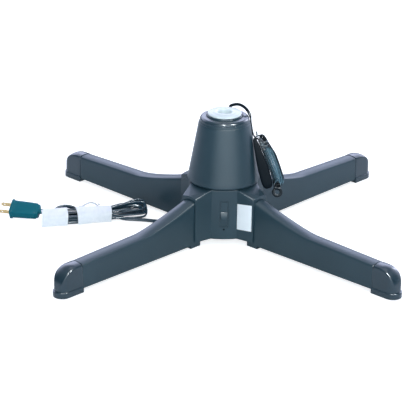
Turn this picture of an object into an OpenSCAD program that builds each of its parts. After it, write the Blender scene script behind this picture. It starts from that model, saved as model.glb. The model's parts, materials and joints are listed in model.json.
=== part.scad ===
// Rotating stand for an artificial tree.
// Four moulded legs plug into a housing that holds a geared motor. A turret turns on a ball
// bearing on top of the housing, and nested adapters in the turret hold the tree's pole.
// Axis of the turret: Z. Floor: z = 0. The switch faces -Y. The legs point to the four diagonals.

/* [Legs] */
// Distance from the axis to the tip of each foot
foot_reach = 308; // [285:1:335]
// Width of a leg at its lower edge
leg_w = 22; // [19:0.5:24]
// Height of a leg where its toe cap starts
leg_toe_h = 39.5; // [34:0.5:44]
// Height of a leg where it enters the housing
leg_root_h = 66; // [62:0.5:67]
// Distance from the axis at which the leg starts to rise towards the housing
leg_bend_r = 160; // [135:1:185]
// How much narrower than its lower edge the top of a leg is
leg_draft = 1; // [0:0.2:2]
// Height of the crown along the top of a leg
leg_crown = 1.2; // [0.6:0.1:2]
// Radius of a leg's upper edges
leg_round = 2.8; // [1.5:0.1:4]
// Wall of a leg and of its ribs
leg_wall = 2.4; // [1.8:0.1:3]
// Height of a leg's lower edge above the floor
leg_lift = 4; // [3:0.5:5]
// Length of leg that enters its socket
tenon_l = 20; // [15:1:21]
// Number of ribs across the inside of a leg
leg_ribs = 6; // [3:1:9]

/* [Feet] */
// Length of a toe cap
cap_l = 38; // [32:1:44]
// Wall of a toe cap
cap_wall = 2.2; // [1.6:0.1:2.6]
// Length of the spigot that holds a toe cap
spigot_l = 13; // [8:1:16]
// Height of the sole of a toe cap
sole_h = 7; // [5:0.5:9]
// How far the sole stands out all round
sole_lip = 1.4; // [0.8:0.1:2]
// Thickness of the rubber pad under a foot
pad_t = 3; // [2:0.5:4]
// How far the pad stands out of the sole
pad_proud = 0.6; // [0.4:0.1:1]

/* [Housing] */
// Height of the housing's lower edge
base_low_z = 8; // [7.8:0.1:9]
// Height of the housing's deck
base_top_z = 78; // [76:0.5:84]
// Distance from the axis to the middle of the front and rear faces
face_front = 44.5; // [43.5:0.5:50]
// Distance from the axis to the middle of the side faces
face_side = 46; // [44:0.5:50]
// Width of each middle face
face_w = 34.4; // [30:0.2:38]
// How far each middle face bulges out
face_bulge = 2; // [1:0.1:3]
// Distance from the axis to the mouths of the leg sockets
mouth_r = 66.7; // [64:0.1:72]
// Wall of a leg socket
sleeve_wall = 1.7; // [1.4:0.1:2.2]
// Depth of the rim of a socket above the leg
lip_h = 5.1; // [4:0.1:6]
// Radius of the upper edges of a socket's mouth
socket_round = 3; // [2:0.1:4]
// Wall of the housing
base_wall = 2.5; // [2:0.1:3]
// Thickness of the deck
deck_t = 3; // [2.5:0.1:4]
// Thickness of the bottom cover
cover_t = 2.5; // [2:0.1:3]

/* [Turret] */
// Radius of the turret at its lower edge
turret_low_r = 47.9; // [47:0.1:52]
// Radius of the turret at its shoulder
turret_top_r = 33.2; // [32:0.1:36]
// Height of the turret from its lower edge to its shoulder
turret_h = 83.5; // [75:0.5:95]
// Gap between the housing and the turret
turret_gap = 1.7; // [1.5:0.1:2.6]
// Wall of the turret
turret_wall = 2.5; // [2:0.1:3]
// Radius of the turret's lower edge and of its shoulder
turret_round = 4; // [3:0.1:5]
// Radius of the collar round the pole tube
collar_r = 24; // [23.4:0.1:25]
// Wall of the pole tube
tube_wall = 2.4; // [2:0.1:2.6]
// Number of ribs inside the turret
turret_ribs = 8; // [4:1:12]

/* [Pole adapters] */
// Bore of the small adapter, for the thinnest pole
bore_small = 19.4; // [19:0.1:20]
// Bore of the middle adapter
bore_middle = 25.8; // [25:0.1:26.4]
// Bore of the large adapter
bore_large = 32.2; // [31.8:0.1:32.8]
// Wall of the large adapter
adapter_wall = 2; // [1.8:0.1:2.2]
// Length of an adapter's sleeve
sleeve_l = 62; // [50:1:66]
// Radius of the large adapter's flange
flange_r = 22.6; // [22:0.1:23]
// Thickness of the large adapter's flange
flange_t = 2.4; // [2:0.1:3]
// Thickness of the two upper flanges
inner_flange_t = 0.7; // [0.5:0.1:1]

/* [Drive] */
// Tooth size: pitch diameter divided by the number of teeth
gear_module = 1; // [0.9:0.05:1.05]
// Teeth of the drive cup
ring_teeth = 42; // [38:1:42]
// Teeth of the motor's pinion
pinion_teeth = 12; // [11:1:13]
// Play between the teeth
backlash = 0.2; // [0.16:0.02:0.3]
// Height of the teeth of the drive cup
gear_h = 10; // [8:0.5:11]
// Radius of the motor's can
motor_r = 24.5; // [22:0.5:24.5]
// Height of the motor's can
motor_h = 20; // [16:0.5:20.5]

/* [Bearing] */
// Radius of the ring of balls
ball_ring_r = 26; // [25:0.5:27]
// Diameter of a ball
ball_d = 4.76; // [4:0.02:5]
// Number of balls
balls = 16; // [12:1:20]
// Width of each race
race_w = 11; // [9:0.5:12]
// Thickness of each race
race_t = 1.5; // [1.2:0.1:2]
// Outer radius of the spindle
spindle_r = 11; // [10:0.1:11.4]
// Bore radius of the spindle, for the wires
spindle_bore_r = 7.5; // [6:0.1:8]

/* [Switch] */
// Width of the switch's recess
recess_w = 12.6; // [11:0.2:14]
// Height of the switch's recess
recess_h = 38.6; // [36:0.2:40]
// Height of the middle of the recess
recess_z = 44; // [43:0.5:45]
// Width of the slider's knob
knob_w = 8.4; // [7:0.2:8.8]
// Height of the slider's knob
knob_h = 12; // [10:0.5:12]
// Travel of the slider
knob_travel = 8; // [6:0.5:8]

/* [Cords] */
// Width of the flat mains lead
lead_w = 5.2; // [4.6:0.1:5.6]
// Width of the flat cord for the lights
light_cord_w = 4; // [3.6:0.1:4.4]
// Thickness of the cord for the lights
light_cord_t = 2; // [1.8:0.1:2.4]
// Thickness of the mains lead's hank
hank_t = 12; // [10:0.5:14]

/* [Hidden] */
$fn = 64;
CUT = 0.01;           // overlap of a cut with the face that it goes through
FIT = 0.3;            // gap between pieces that slide past each other
SEAT = 0.1;           // gap between pieces that are fixed in each other
RUN = 0.05;           // gap round the spindle and at each ball
LEG_ANGLES = [315, 225, 135, 45];

cap_r = foot_reach - cap_l;                  // where the toe caps start
mouth_w = leg_w + 2 * (FIT + sleeve_wall);   // width of a socket outside
mouth_h = leg_root_h + lip_h;                // height of a socket's rim
tenon_r = mouth_r - tenon_l;                 // inner end of a leg
root_l = 6.5;                                // foot of a leg outside its socket
root_in = 11.5;                              // and inside it
socket_end = 2;                              // wall behind a leg
face_corner = face_w / 2;
front_corner = face_front - face_bulge;
side_corner = face_side - face_bulge;
roof_z = base_top_z;

race_seat = 0.6;                             // depth of the races' recesses
race_z = base_top_z - race_seat;             // underside of the lower race
ball_z = race_z + race_t + RUN + ball_d / 2;
upper_race_z = ball_z + ball_d / 2 + RUN;
floor_z = upper_race_z + race_t - race_seat; // underside of the turret's floor
floor_t = 3;
spindle_top = floor_z + floor_t;
spindle_flange_t = 2;
tube_z = spindle_top + spindle_flange_t;     // underside of the pole's seat
pole_seat_t = 3;

turret_z = base_top_z + turret_gap;
shoulder_z = turret_z + turret_h;
cap_rise = 4.6;
roof_top_z = shoulder_z + cap_rise;
collar_z = roof_top_z + 2.8;                 // top of the collar, under the adapters
adapter_fit = 0.15;
tube_bore_r = bore_large / 2 + adapter_wall + adapter_fit;
tube_r = tube_bore_r + tube_wall;

ring_r = gear_module * ring_teeth / 2;
pinion_r = gear_module * pinion_teeth / 2;
shaft_offset = ring_r - pinion_r;            // the pinion runs inside the drive cup
cup_wall = 2.7;
cup_r = ring_r + 1.25 * gear_module + cup_wall;
cup_floor = 3;
drum_h = 11;
bush_h = 12.5;
drum_z = base_top_z - bush_h - 3.5 - drum_h; // underside of the slip ring drum
cup_top = drum_z - 0.6;
cup_z = cup_top - cup_floor - gear_h;        // lower edge of the drive cup
bush_wall = 2.5;
ring_out_r = spindle_r + 5.5;                // contact surface of the slip rings
motor_z = base_low_z + 0.4 + cover_t + 1;
plate_t = 1.5;
plate_z = motor_z + motor_h;
ear_x = motor_r + 5;
ear_r = 4;
shaft_r = 2;
shaft_in = 12;
boss_at = [17, 33];                          // screw bosses of the bottom cover
boss_r = 3.6;
cover_screw_l = 13;
motor_screw_l = 10;
floor_screw_l = 11;
pin_hole_r = 1.2;                            // hole below the switch

BODY = [0.25, 0.32, 0.36];
GLOSS = [0.2, 0.26, 0.31];
WHITE = [0.93, 0.95, 0.94];
TEAL = [0, 0.47, 0.51];
CORD = [0.06, 0.13, 0.16];
STEEL = [0.72, 0.73, 0.75];
BRASS = [0.8, 0.62, 0.34];
COPPER = [0.78, 0.45, 0.3];
RUBBER = [0.1, 0.1, 0.11];
NYLON = [0.85, 0.84, 0.78];

// ---- small functions ----
function unit(v) = v / norm(v);
function inside(pts, d) =
    // the outline moved inwards by d; its points run anticlockwise
    let (n = len(pts))
    [for (i = [0:n - 1])
        let (a = pts[(i + n - 1) % n], b = pts[i], c = pts[(i + 1) % n],
            u = unit(b - a), v = unit(c - b),
            nu = [-u[1], u[0]], nv = [-v[1], v[0]])
        b + d * (nu + nv) / (1 + nu * nv)];

// Smooth curve through the points of a route, with steps points on each stretch
function spline(p, steps) =
    let (n = len(p))
    concat([for (i = [0:n - 2])
        let (a = p[max(i - 1, 0)], b = p[i], c = p[i + 1], d = p[min(i + 2, n - 1)])
        for (k = [0:steps - 1]) let (t = k / steps)
            0.5 * (2 * b + (c - a) * t + (2 * a - 5 * b + 4 * c - d) * t * t
                + (3 * b - a - 3 * c + d) * t * t * t)], [p[n - 1]]);

// Tube of width d along the points, its rings turned so that side lies in them; flat is its
// thickness against its width
module tube_along(p, d, side, flat = 1, sides = 8) {
    n = len(p);
    function along(i) = unit(p[min(i + 1, n - 1)] - p[max(i - 1, 0)]);
    rings = [for (i = [0:n - 1])
        let (t = along(i), u = flat * unit(cross(side, t)), v = cross(t, u) / flat)
        for (k = [0:sides - 1]) p[i] + d / 2 * (cos(360 * k / sides) * u + sin(360 * k / sides) * v)];
    polyhedron(rings, concat(
        [[for (k = [0:sides - 1]) k]],
        [for (i = [0:n - 2], k = [0:sides - 1]) let (m = (k + 1) % sides)
            [i * sides + k, (i + 1) * sides + k, (i + 1) * sides + m, i * sides + m]],
        [[for (k = [sides - 1:-1:0]) (n - 1) * sides + k]]));
}

// ---- legs ----
// Height of the top of a leg at distance r from the axis
function leg_top(r) =
    let (slope = 0.028, at_root = leg_toe_h + slope * (cap_r - mouth_r),
        t = max(0, leg_bend_r - max(r, mouth_r)) / (leg_bend_r - mouth_r))
    leg_toe_h + slope * (cap_r - max(r, mouth_r)) + (leg_root_h - at_root) * pow(t, 1.4);
function leg_bottom(r) = leg_lift + 1.6 * max(0, r - mouth_r) / (cap_r - mouth_r);

// Cross-section of a leg: [across, up] points from the lower left edge, anticlockwise
function section(w, low, high, round_r) =
    let (top = w - leg_draft / 2, z = high - leg_crown)
    concat([[-w, low], [w, low]],
        [for (a = [0:30:90]) [top - round_r + round_r * cos(a), z - round_r + round_r * sin(a)]],
        [[0, high]],
        [for (a = [90:30:180]) [-top + round_r + round_r * cos(a), z - round_r + round_r * sin(a)]]);

// Solid through cross-sections; each station is [distance, half width, low, high, edge radius]
module skin(stations) {
    rings = [for (s = stations) [for (q = section(s[1], s[2], s[3], s[4])) [s[0], q[0], q[1]]]];
    n = len(rings[0]);
    last = len(rings) - 1;
    polyhedron([for (r = rings) each r], concat(
        [[for (k = [0:n - 1]) k]],
        [for (i = [0:last - 1], k = [0:n - 1]) let (m = (k + 1) % n)
            [i * n + k, (i + 1) * n + k, (i + 1) * n + m, i * n + m]],
        [[for (k = [n - 1:-1:0]) last * n + k]]));
}

// The leg's outer form, or with shrink its inside
module leg_form(from, to, shrink, low_cut) {
    steps = 16;
    skin([for (i = [0:steps])
        let (r = from + (to - from) * i / steps)
        [r, leg_w / 2 - shrink, low_cut ? -1 : leg_bottom(r), leg_top(r) - shrink,
            max(leg_round - shrink, 0.6)]]);
}

module leg(angle) color(BODY) rotate(angle) {
    spigot_in = cap_wall + SEAT;
    difference() {
        union() {
            leg_form(mouth_r, cap_r, 0, false);
            // straight end in the socket
            skin([for (r = [tenon_r, mouth_r])
                [r, leg_w / 2, base_low_z + FIT, leg_root_h, leg_round]]);
            // foot under the edge of the housing
            translate([mouth_r - root_in, -leg_w / 2 + CUT, 0])
                cube([root_in + root_l, leg_w - 2 * CUT, base_low_z + 2 * FIT + 1]);
        }
        difference() {
            leg_form(tenon_r + leg_wall, cap_r - leg_wall, leg_wall, true);
            for (i = [1:leg_ribs])
                translate([mouth_r + (cap_r - mouth_r) * i / (leg_ribs + 1), -leg_w, leg_lift + 3])
                    cube([leg_wall, 2 * leg_w, leg_root_h]);
        }
    }
    // spigot for the toe cap
    translate([cap_r - CUT, -leg_w / 2 + spigot_in + leg_draft, leg_lift + 6])
        cube([spigot_l, leg_w - 2 * spigot_in - 2 * leg_draft, leg_toe_h - leg_lift - 6 - spigot_in - 2]);
}

module leg_front_right() leg(LEG_ANGLES[0]);
module leg_front_left() leg(LEG_ANGLES[1]);
module leg_rear_left() leg(LEG_ANGLES[2]);
module leg_rear_right() leg(LEG_ANGLES[3]);

// Plan of a sole: straight sides and a round nose
module sole_plan(w, tip) {
    translate([cap_r, -w / 2]) square([tip - w / 2 - cap_r, w]);
    translate([tip - w / 2, 0]) circle(w / 2);
}

module toe(angle) color(GLOSS) rotate(angle) {
    nose_r = foot_reach - sole_lip;
    half = leg_w / 2;
    steps = 12;
    join_gap = SEAT;
    difference() {
        union() {
            // top falls as a quarter of an ellipse, sides close as a half circle
            skin([for (i = [0:steps])
                let (t = sin(90 * i / steps), r = cap_r + join_gap + t * (nose_r - cap_r - join_gap - 0.6),
                    w = r > nose_r - half ? sqrt(pow(half, 2) - pow(r - nose_r + half, 2)) : half,
                    e = max(0, (r - cap_r - cap_l * 0.3) / (cap_l * 0.7)),
                    h = sole_h + 1 + (leg_toe_h - sole_h - 1) * sqrt(max(0, 1 - pow(e, 2.2))))
                [r, max(w, 1.2), pad_proud + 1, h, min(leg_round, max(w, 1.2) * 0.6 - leg_draft / 2 + 0.3)]]);
            translate([0, 0, pad_proud]) linear_extrude(sole_h - pad_proud)
                intersection() {
                    sole_plan(leg_w + 2 * sole_lip, foot_reach);
                    translate([cap_r + join_gap, -leg_w]) square([cap_l, 2 * leg_w]);
                }
        }
        // pocket for the leg's spigot
        translate([cap_r - 1, -half + cap_wall + leg_draft, leg_lift + 6 - SEAT])
            cube([spigot_l + 1 + SEAT, leg_w - 2 * cap_wall - 2 * leg_draft,
                leg_toe_h - leg_lift - 6 - cap_wall - 2 + SEAT]);
        // recess for the pad
        translate([0, 0, -1]) linear_extrude(1 + pad_t + SEAT) pad_plan(SEAT);
    }
}

module pad_plan(grow) {
    w = leg_w - 4 + 2 * grow;
    tip = foot_reach - 4 + grow;
    translate([cap_r + 5 - grow, -w / 2]) square([tip - w / 2 - cap_r - 5 + grow, w]);
    translate([tip - w / 2, 0]) circle(w / 2);
}
module pad(angle) color(RUBBER) rotate(angle) linear_extrude(pad_t) pad_plan(0);

module toe_front_right() toe(LEG_ANGLES[0]);
module toe_front_left() toe(LEG_ANGLES[1]);
module toe_rear_left() toe(LEG_ANGLES[2]);
module toe_rear_right() toe(LEG_ANGLES[3]);
module pad_front_right() pad(LEG_ANGLES[0]);
module pad_front_left() pad(LEG_ANGLES[1]);
module pad_rear_left() pad(LEG_ANGLES[2]);
module pad_rear_right() pad(LEG_ANGLES[3]);

// ---- housing ----
function diagonal(a, r, across) = [r * cos(a) - across * sin(a), r * sin(a) + across * cos(a)];
function bulged(c) = [for (s = [-1:0.25:1]) [c * s, face_bulge * (1 - s * s)]];
// Middle faces seen from above: front, right, rear and left
middle_faces = [
    [for (q = bulged(face_corner)) [q[0], -front_corner - q[1]]],
    [for (q = bulged(face_corner)) [side_corner + q[1], q[0]]],
    [for (q = bulged(face_corner)) [-q[0], front_corner + q[1]]],
    [for (q = bulged(face_corner)) [-side_corner - q[1], -q[0]]]];
// Outline of the deck, and of the whole housing with the mouth of a socket after each middle face
deck_plan = [for (f = middle_faces) each f];
housing_plan = [for (i = [0:3]) each concat(middle_faces[i],
    [for (s = [-1, 1]) diagonal(90 * i - 45, mouth_r, s * mouth_w / 2)])];
roof_low_z = 60;      // the sockets' roofs start above this height

// Corner posts of the middle faces on both sides of the leg at angle a, as plan points
function face_posts(a) =
    let (sx = sign(cos(a)), sy = sign(sin(a)))
    [[sx * face_corner, sy * front_corner], [sx * side_corner, sy * face_corner]];

module socket_roof(a) hull() {
    translate([0, 0, roof_low_z]) linear_extrude(roof_z - roof_low_z)
        polygon(sin(2 * a) > 0 ? [[0, 0], face_posts(a)[1], face_posts(a)[0]]
            : [[0, 0], face_posts(a)[0], face_posts(a)[1]]);
    rotate(a) skin([for (r = [mouth_r - 3, mouth_r])
        [r, mouth_w / 2, roof_low_z, mouth_h, socket_round]]);
}

module sockets(half, z0, z1, from) for (a = LEG_ANGLES) rotate(a)
    translate([from, -half, z0]) cube([mouth_r + 5 - from, 2 * half, z1 - z0]);

module base_shell() color(BODY) difference() {
    union() {
        translate([0, 0, base_low_z]) linear_extrude(roof_low_z - base_low_z + 1) polygon(housing_plan);
        for (a = LEG_ANGLES) socket_roof(a);
        translate([0, 0, roof_low_z]) linear_extrude(base_top_z - roof_low_z) polygon(deck_plan);
        // dust lip inside the turret's lower edge
        translate([0, 0, base_top_z - CUT]) linear_extrude(4) difference() {
            circle(43.2);
            circle(41.4);
        }
    }
    // inside, with the sockets and the boss of the spindle left standing
    difference() {
        union() {
            translate([0, 0, base_low_z - 1]) linear_extrude(roof_low_z - base_low_z + 1)
                polygon(inside(housing_plan, base_wall));
            translate([0, 0, base_low_z]) cylinder(r = 39.5, h = base_top_z - deck_t - base_low_z);
        }
        for (a = LEG_ANGLES) rotate(a)
            translate([tenon_r - socket_end, -mouth_w / 2, 0]) cube([mouth_r, mouth_w, roof_z]);
        translate([0, 0, base_top_z - bush_h - 1.5]) cylinder(r = spindle_r + bush_wall + 3.5, h = bush_h);
        for (sx = [-1, 1], sy = [-1, 1]) cover_boss(sx, sy);
    }
    // sockets for the legs, open below
    sockets(leg_w / 2 + FIT, base_low_z - 1, leg_root_h + FIT, tenon_r - FIT);
    // bush and lower race
    translate([0, 0, base_top_z - bush_h - 2]) cylinder(r = spindle_r + bush_wall, h = bush_h + 6);
    translate([0, 0, race_z]) difference() {
        cylinder(r = ball_ring_r + race_w / 2 + SEAT, h = race_seat + 1);
        translate([0, 0, -1]) cylinder(r = ball_ring_r - race_w / 2 - SEAT, h = race_seat + 3);
    }
    // screw holes of the cover
    for (sx = [-1, 1], sy = [-1, 1])
        translate([sx * boss_at[0], sy * boss_at[1], base_low_z - 1]) cylinder(r = 1.5, h = 16);
    // switch: shallow recess, window for the knob, inner pocket, pin hole below
    translate([-recess_w / 2, -face_front - 1, recess_z - recess_h / 2]) difference() {
        cube([recess_w, 1 + recess_in, recess_h]);
        translate([recess_w / 2 - knob_w / 2, 0.6, recess_h - 14.4]) cube([knob_w, 3, 12.8]);
    }
    translate([-knob_w / 2 - FIT, -face_front - 1, window_z])
        cube([knob_w + 2 * FIT, 8, window_h]);
    translate([-knob_w / 2 - skirt_edge - FIT, -face_front + skirt_in - FIT,
            window_z - skirt_edge - knob_travel - FIT])
        cube([knob_w + 2 * (skirt_edge + FIT), 3, window_h + 2 * (knob_travel + skirt_edge + FIT)]);
    translate([0, -face_front - 1, recess_z - recess_h / 2 - 2.4]) rotate([-90, 0, 0])
        cylinder(r = pin_hole_r, h = 2.2);
    // hole for the strain relief
    translate([-face_side - 1, 0, lead_exit_z]) rotate([0, 90, 0]) cylinder(r = relief_r, h = 8);
}

// Boss of one cover screw, with a web to the wall
module cover_boss(sx, sy) {
    top = recess_z - 4;
    translate([sx * boss_at[0], sy * boss_at[1], base_low_z + 0.4 + cover_t + SEAT]) {
        cylinder(r = boss_r, h = top - base_low_z);
        translate([-1, sy > 0 ? 0 : -9, 0]) cube([2, 9, top - base_low_z]);
    }
}

module bottom_cover() color(BODY) difference() {
    union() {
        translate([0, 0, base_low_z + 0.4]) linear_extrude(cover_t) difference() {
            polygon(inside(housing_plan, base_wall + FIT));
            for (a = LEG_ANGLES) rotate(a)
                translate([tenon_r - socket_end - FIT, -mouth_w / 2 - FIT])
                    square([mouth_r, mouth_w + 2 * FIT]);
        }
        // pillars of the motor
        for (s = [-1, 1]) translate([s * ear_x, 0, base_low_z + 0.4])
            cylinder(r = ear_r - 0.2, h = plate_z - base_low_z - 0.4);
    }
    for (s = [-1, 1]) translate([s * ear_x, 0, plate_z - 10]) cylinder(r = 1.5, h = 12);
    for (sx = [-1, 1], sy = [-1, 1]) translate([sx * boss_at[0], sy * boss_at[1], base_low_z]) {
        cylinder(r = 1.8, h = 5);
        cylinder(r = 3.3 + SEAT, h = 1.4 + 0.4);
    }
}

// Screw with its head down: head radius, head height, shank radius, shank length
module screw(head_r, head_h, shank_r, shank_l) {
    difference() {
        cylinder(r = head_r, h = head_h);
        translate([0, 0, -CUT]) linear_extrude(head_h * 0.5) {
            square([head_r * 1.3, head_r * 0.3], center = true);
            square([head_r * 0.3, head_r * 1.3], center = true);
        }
    }
    translate([0, 0, head_h - CUT]) cylinder(r = shank_r, h = shank_l);
}

module cover_screws() color(STEEL)
    for (sx = [-1, 1], sy = [-1, 1])
        translate([sx * boss_at[0], sy * boss_at[1], base_low_z + 0.4]) screw(3.2, 1.4, 1.4, cover_screw_l);

// ---- motor and gears ----
module motor() color(STEEL) {
    difference() {
        union() {
            translate([0, 0, motor_z]) cylinder(r = motor_r, h = motor_h);
            translate([0, shaft_offset, plate_z - CUT]) cylinder(r = shaft_r + 1.6, h = plate_t + 1);
        }
        translate([0, shaft_offset, plate_z - shaft_in - 1]) cylinder(r = shaft_r + RUN, h = shaft_in + 6);
        // pressed rim of the can
        translate([0, 0, motor_z + motor_h * 0.62]) difference() {
            cylinder(r = motor_r + 1, h = 1.2);
            translate([0, 0, -1]) cylinder(r = motor_r - 0.6, h = 4);
        }
    }
}

module motor_plate() color(STEEL) difference() {
    translate([0, 0, plate_z]) linear_extrude(plate_t) {
        circle(motor_r);
        square([2 * ear_x, 2 * ear_r], center = true);
        for (s = [-1, 1]) translate([s * ear_x, 0]) circle(ear_r);
    }
    translate([0, shaft_offset, plate_z - 1]) cylinder(r = shaft_r + 1.6 + SEAT, h = 4);
    for (s = [-1, 1]) translate([s * ear_x, 0, plate_z - 1]) cylinder(r = 1.7, h = 4);
}

module motor_screws() color(STEEL)
    for (s = [-1, 1]) translate([s * ear_x, 0, plate_z + plate_t + 1.9]) mirror([0, 0, 1])
        screw(2.9, 1.9, 1.4, motor_screw_l);

// Involute of a circle, in degrees
function inv_deg(a) = tan(a) * 180 / PI - a;
// Outline of a gear: above and below are the heights of its teeth over and under the pitch circle
function gear_outline(teeth, above, below, thinner) =
    let (r = gear_module * teeth / 2, base = r * cos(20), tip = r + above, root = r - below,
        low = max(base * 1.0005, root), flank = [for (k = [0:3]) low + (tip - low) * k / 3],
        steps = root < low ? concat([root], flank) : flank, last = len(steps) - 1)
    [for (i = [0:teeth - 1], side = [-1, 1], k = [0:last])
        let (q = steps[side < 0 ? k : last - k],
            half = 90 / teeth - thinner / (2 * r) * 180 / PI + inv_deg(20)
                - inv_deg(acos(base / max(q, low))),
            a = 90 + 360 * i / teeth + side * half)
        [q * cos(a), q * sin(a)]];

module pinion() color(BRASS) {
    translate([0, shaft_offset, cup_z + 0.8]) linear_extrude(gear_h - 1.6)
        polygon(gear_outline(pinion_teeth, gear_module, 1.25 * gear_module, backlash / 2));
    translate([0, shaft_offset, plate_z - shaft_in])
        cylinder(r = shaft_r, h = cup_z - plate_z + shaft_in + 1);
}

module drive_cup() color(NYLON) difference() {
    translate([0, 0, cup_z]) cylinder(r = cup_r, h = gear_h + cup_floor);
    translate([0, 0, cup_z - 1]) linear_extrude(gear_h + 1)
        polygon(gear_outline(ring_teeth, 1.25 * gear_module, 0.45 * gear_module, -backlash / 2));
    translate([0, 0, cup_z]) cylinder(r = 2.7, h = gear_h + cup_floor + 1);
}

module spindle_screw() color(STEEL)
    translate([0, 0, cup_top - cup_floor - 2.6]) screw(4.6, 2.6, 2.4, cup_floor + 8);

// ---- bearing ----
module race(z) translate([0, 0, z]) difference() {
    cylinder(r = ball_ring_r + race_w / 2, h = race_t);
    translate([0, 0, -1]) cylinder(r = ball_ring_r - race_w / 2, h = race_t + 2);
}
module lower_race() color(STEEL) race(race_z);
module upper_race() color(STEEL) race(upper_race_z);

module bearing_balls() color(STEEL)
    for (i = [0:balls - 1]) rotate(360 * i / balls) translate([ball_ring_r, 0, ball_z])
        sphere(d = ball_d, $fn = 24);

module ball_cage() color(NYLON) difference() {
    translate([0, 0, ball_z - 0.7]) cylinder(r = ball_ring_r + 4, h = 1.4);
    translate([0, 0, ball_z - 2]) cylinder(r = ball_ring_r - 4, h = 4);
    for (i = [0:balls - 1]) rotate(360 * i / balls)
        translate([ball_ring_r, 0, ball_z - 2]) cylinder(r = ball_d / 2 + SEAT, h = 4);
}

module spindle_bush() color(BRASS) difference() {
    union() {
        translate([0, 0, base_top_z - bush_h]) cylinder(r = spindle_r + bush_wall - SEAT, h = bush_h);
        translate([0, 0, base_top_z]) cylinder(r = spindle_r + bush_wall + 2.5, h = 1.2);
    }
    translate([0, 0, base_top_z - bush_h - 1]) cylinder(r = spindle_r + RUN, h = bush_h + 5);
}

// ---- slip rings and brushes ----
module slip_drum() color(RUBBER) difference() {
    translate([0, 0, drum_z]) cylinder(r = ring_out_r, h = drum_h);
    translate([0, 0, drum_z - 1]) cylinder(r = spindle_r + 0.02, h = drum_h + 2);
    for (z = ring_heights) translate([0, 0, z - SEAT]) difference() {
        cylinder(r = ring_out_r + 1, h = contact_w + 2 * SEAT);
        translate([0, 0, -1]) cylinder(r = ring_out_r - 1.6, h = contact_w + 3);
    }
}

contact_w = 3;
ring_heights = [drum_z + 1.5, drum_z + drum_h - 1.5 - contact_w];
module slip_rings() color(COPPER)
    for (z = ring_heights) translate([0, 0, z]) difference() {
        cylinder(r = ring_out_r, h = contact_w);
        translate([0, 0, -1]) cylinder(r = ring_out_r - 1.6 + 0.02, h = contact_w + 2);
    }

holder_y = ring_out_r + 2;
module brush_holder() color(RUBBER) difference() {
    union() {
        translate([-8, holder_y, drum_z]) cube([16, 9.5, drum_h]);
        translate([-8, holder_y + 4.5, drum_z]) cube([16, 5, base_top_z - deck_t - drum_z]);
    }
    for (z = ring_heights) translate([-1.7, holder_y - 1, z - 0.2]) cube([3.4, 9, contact_w + 0.4]);
}
module brushes() color(COPPER)
    for (z = ring_heights) translate([-1.5, ring_out_r + RUN, z]) cube([3, 8, contact_w]);

// ---- switch ----
recess_in = 1.2;
window_h = knob_h + knob_travel + 2 * FIT;
knob_top = recess_z + 2.5;
window_z = knob_top + FIT - window_h;
switch_y = -face_front + base_wall + 0.7;
skirt_edge = 0.9;              // how far the slider's skirt goes past the window
skirt_in = 2.3;                // and how deep it lies behind the front face
skirt_t = 0.7;
module switch_body() color(RUBBER) difference() {
    union() {
        translate([-9, switch_y, window_z - 5]) cube([18, 8, window_h + 10]);
        for (z = [window_z + 3, knob_top - 8, knob_top - 3])
            translate([-2.4, switch_y + 8, z]) cube([4.8, 3, 0.8]);
    }
    translate([-knob_w / 2 + 1, switch_y - 1, window_z]) cube([knob_w - 2, 5, window_h]);
}
module switch_knob() color(BODY) {
    translate([-knob_w / 2, -face_front - 0.8, knob_top - knob_h]) difference() {
        cube([knob_w, base_wall + 1.2, knob_h]);
        // finger hollow with two grips
        translate([-1, 0, 2.2]) for (z = [0:2:6]) translate([0, -1, z]) cube([knob_w + 2, 1.7, 1]);
    }
    translate([-knob_w / 2 + 1.3, -face_front + base_wall + 0.4 - CUT, knob_top - knob_h + 3])
        cube([knob_w - 2.6, 3.8, knob_h - 6]);
    // skirt that closes the window at both ends of the travel
    translate([-knob_w / 2 - skirt_edge, -face_front + skirt_in, window_z - skirt_edge])
        cube([knob_w + 2 * skirt_edge, skirt_t, window_h + knob_travel + 2 * skirt_edge]);
}

// ---- turret ----
function turret_r(z) = turret_low_r - (turret_low_r - turret_top_r) * (z - turret_z) / turret_h;
function arc(c, r, from, to, n) =
    [for (i = [0:n]) let (a = from + (to - from) * i / n) [c[0] + r * cos(a), c[1] + r * sin(a)]];
slant = atan((turret_low_r - turret_top_r) / turret_h);
// Wall of the turret: outside upwards, then inside downwards
shell_profile = concat(
    arc([turret_r(turret_z + turret_round) - turret_round / cos(slant), turret_z + turret_round],
        turret_round, -60, slant, 6),
    [[turret_top_r, shoulder_z], [turret_top_r - turret_wall, shoulder_z],
        [turret_r(turret_z + 5) - turret_wall - 0.1, turret_z + 5],
        [turret_low_r - turret_round * 0.5 - turret_wall + 0.2, turret_z + 0.55]]);
boss_turret_r = 38;

module turret_shell() color(BODY) {
    rotate_extrude($fn = 96) polygon(shell_profile);
    // ribs and screw bosses stand on the floor and carry the pole tube
    intersection() {
        translate([0, 0, spindle_top + SEAT]) linear_extrude(turret_h) {
            for (i = [0:turret_ribs - 1]) rotate(360 * i / turret_ribs + 22.5)
                translate([tube_r + FIT, -0.9]) square([turret_low_r, 1.8]);
        }
        rotate_extrude() polygon([[0, 0], [turret_r(0) - 0.6, 0],
            [turret_r(shoulder_z - 22) - 0.6, shoulder_z - 22], [tube_r + 4, shoulder_z - 14],
            [0, shoulder_z - 14]]);
    }
    for (i = [0:3]) rotate(90 * i + 45) translate([boss_turret_r, 0, spindle_top + SEAT]) difference() {
        union() {
            cylinder(r = 3.5, h = 14);
            translate([0, -1, 0]) cube([turret_r(spindle_top + 14) - boss_turret_r - 1, 2, 14]);
        }
        translate([0, 0, -1]) cylinder(r = 1.5, h = 12);
    }
}

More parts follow.
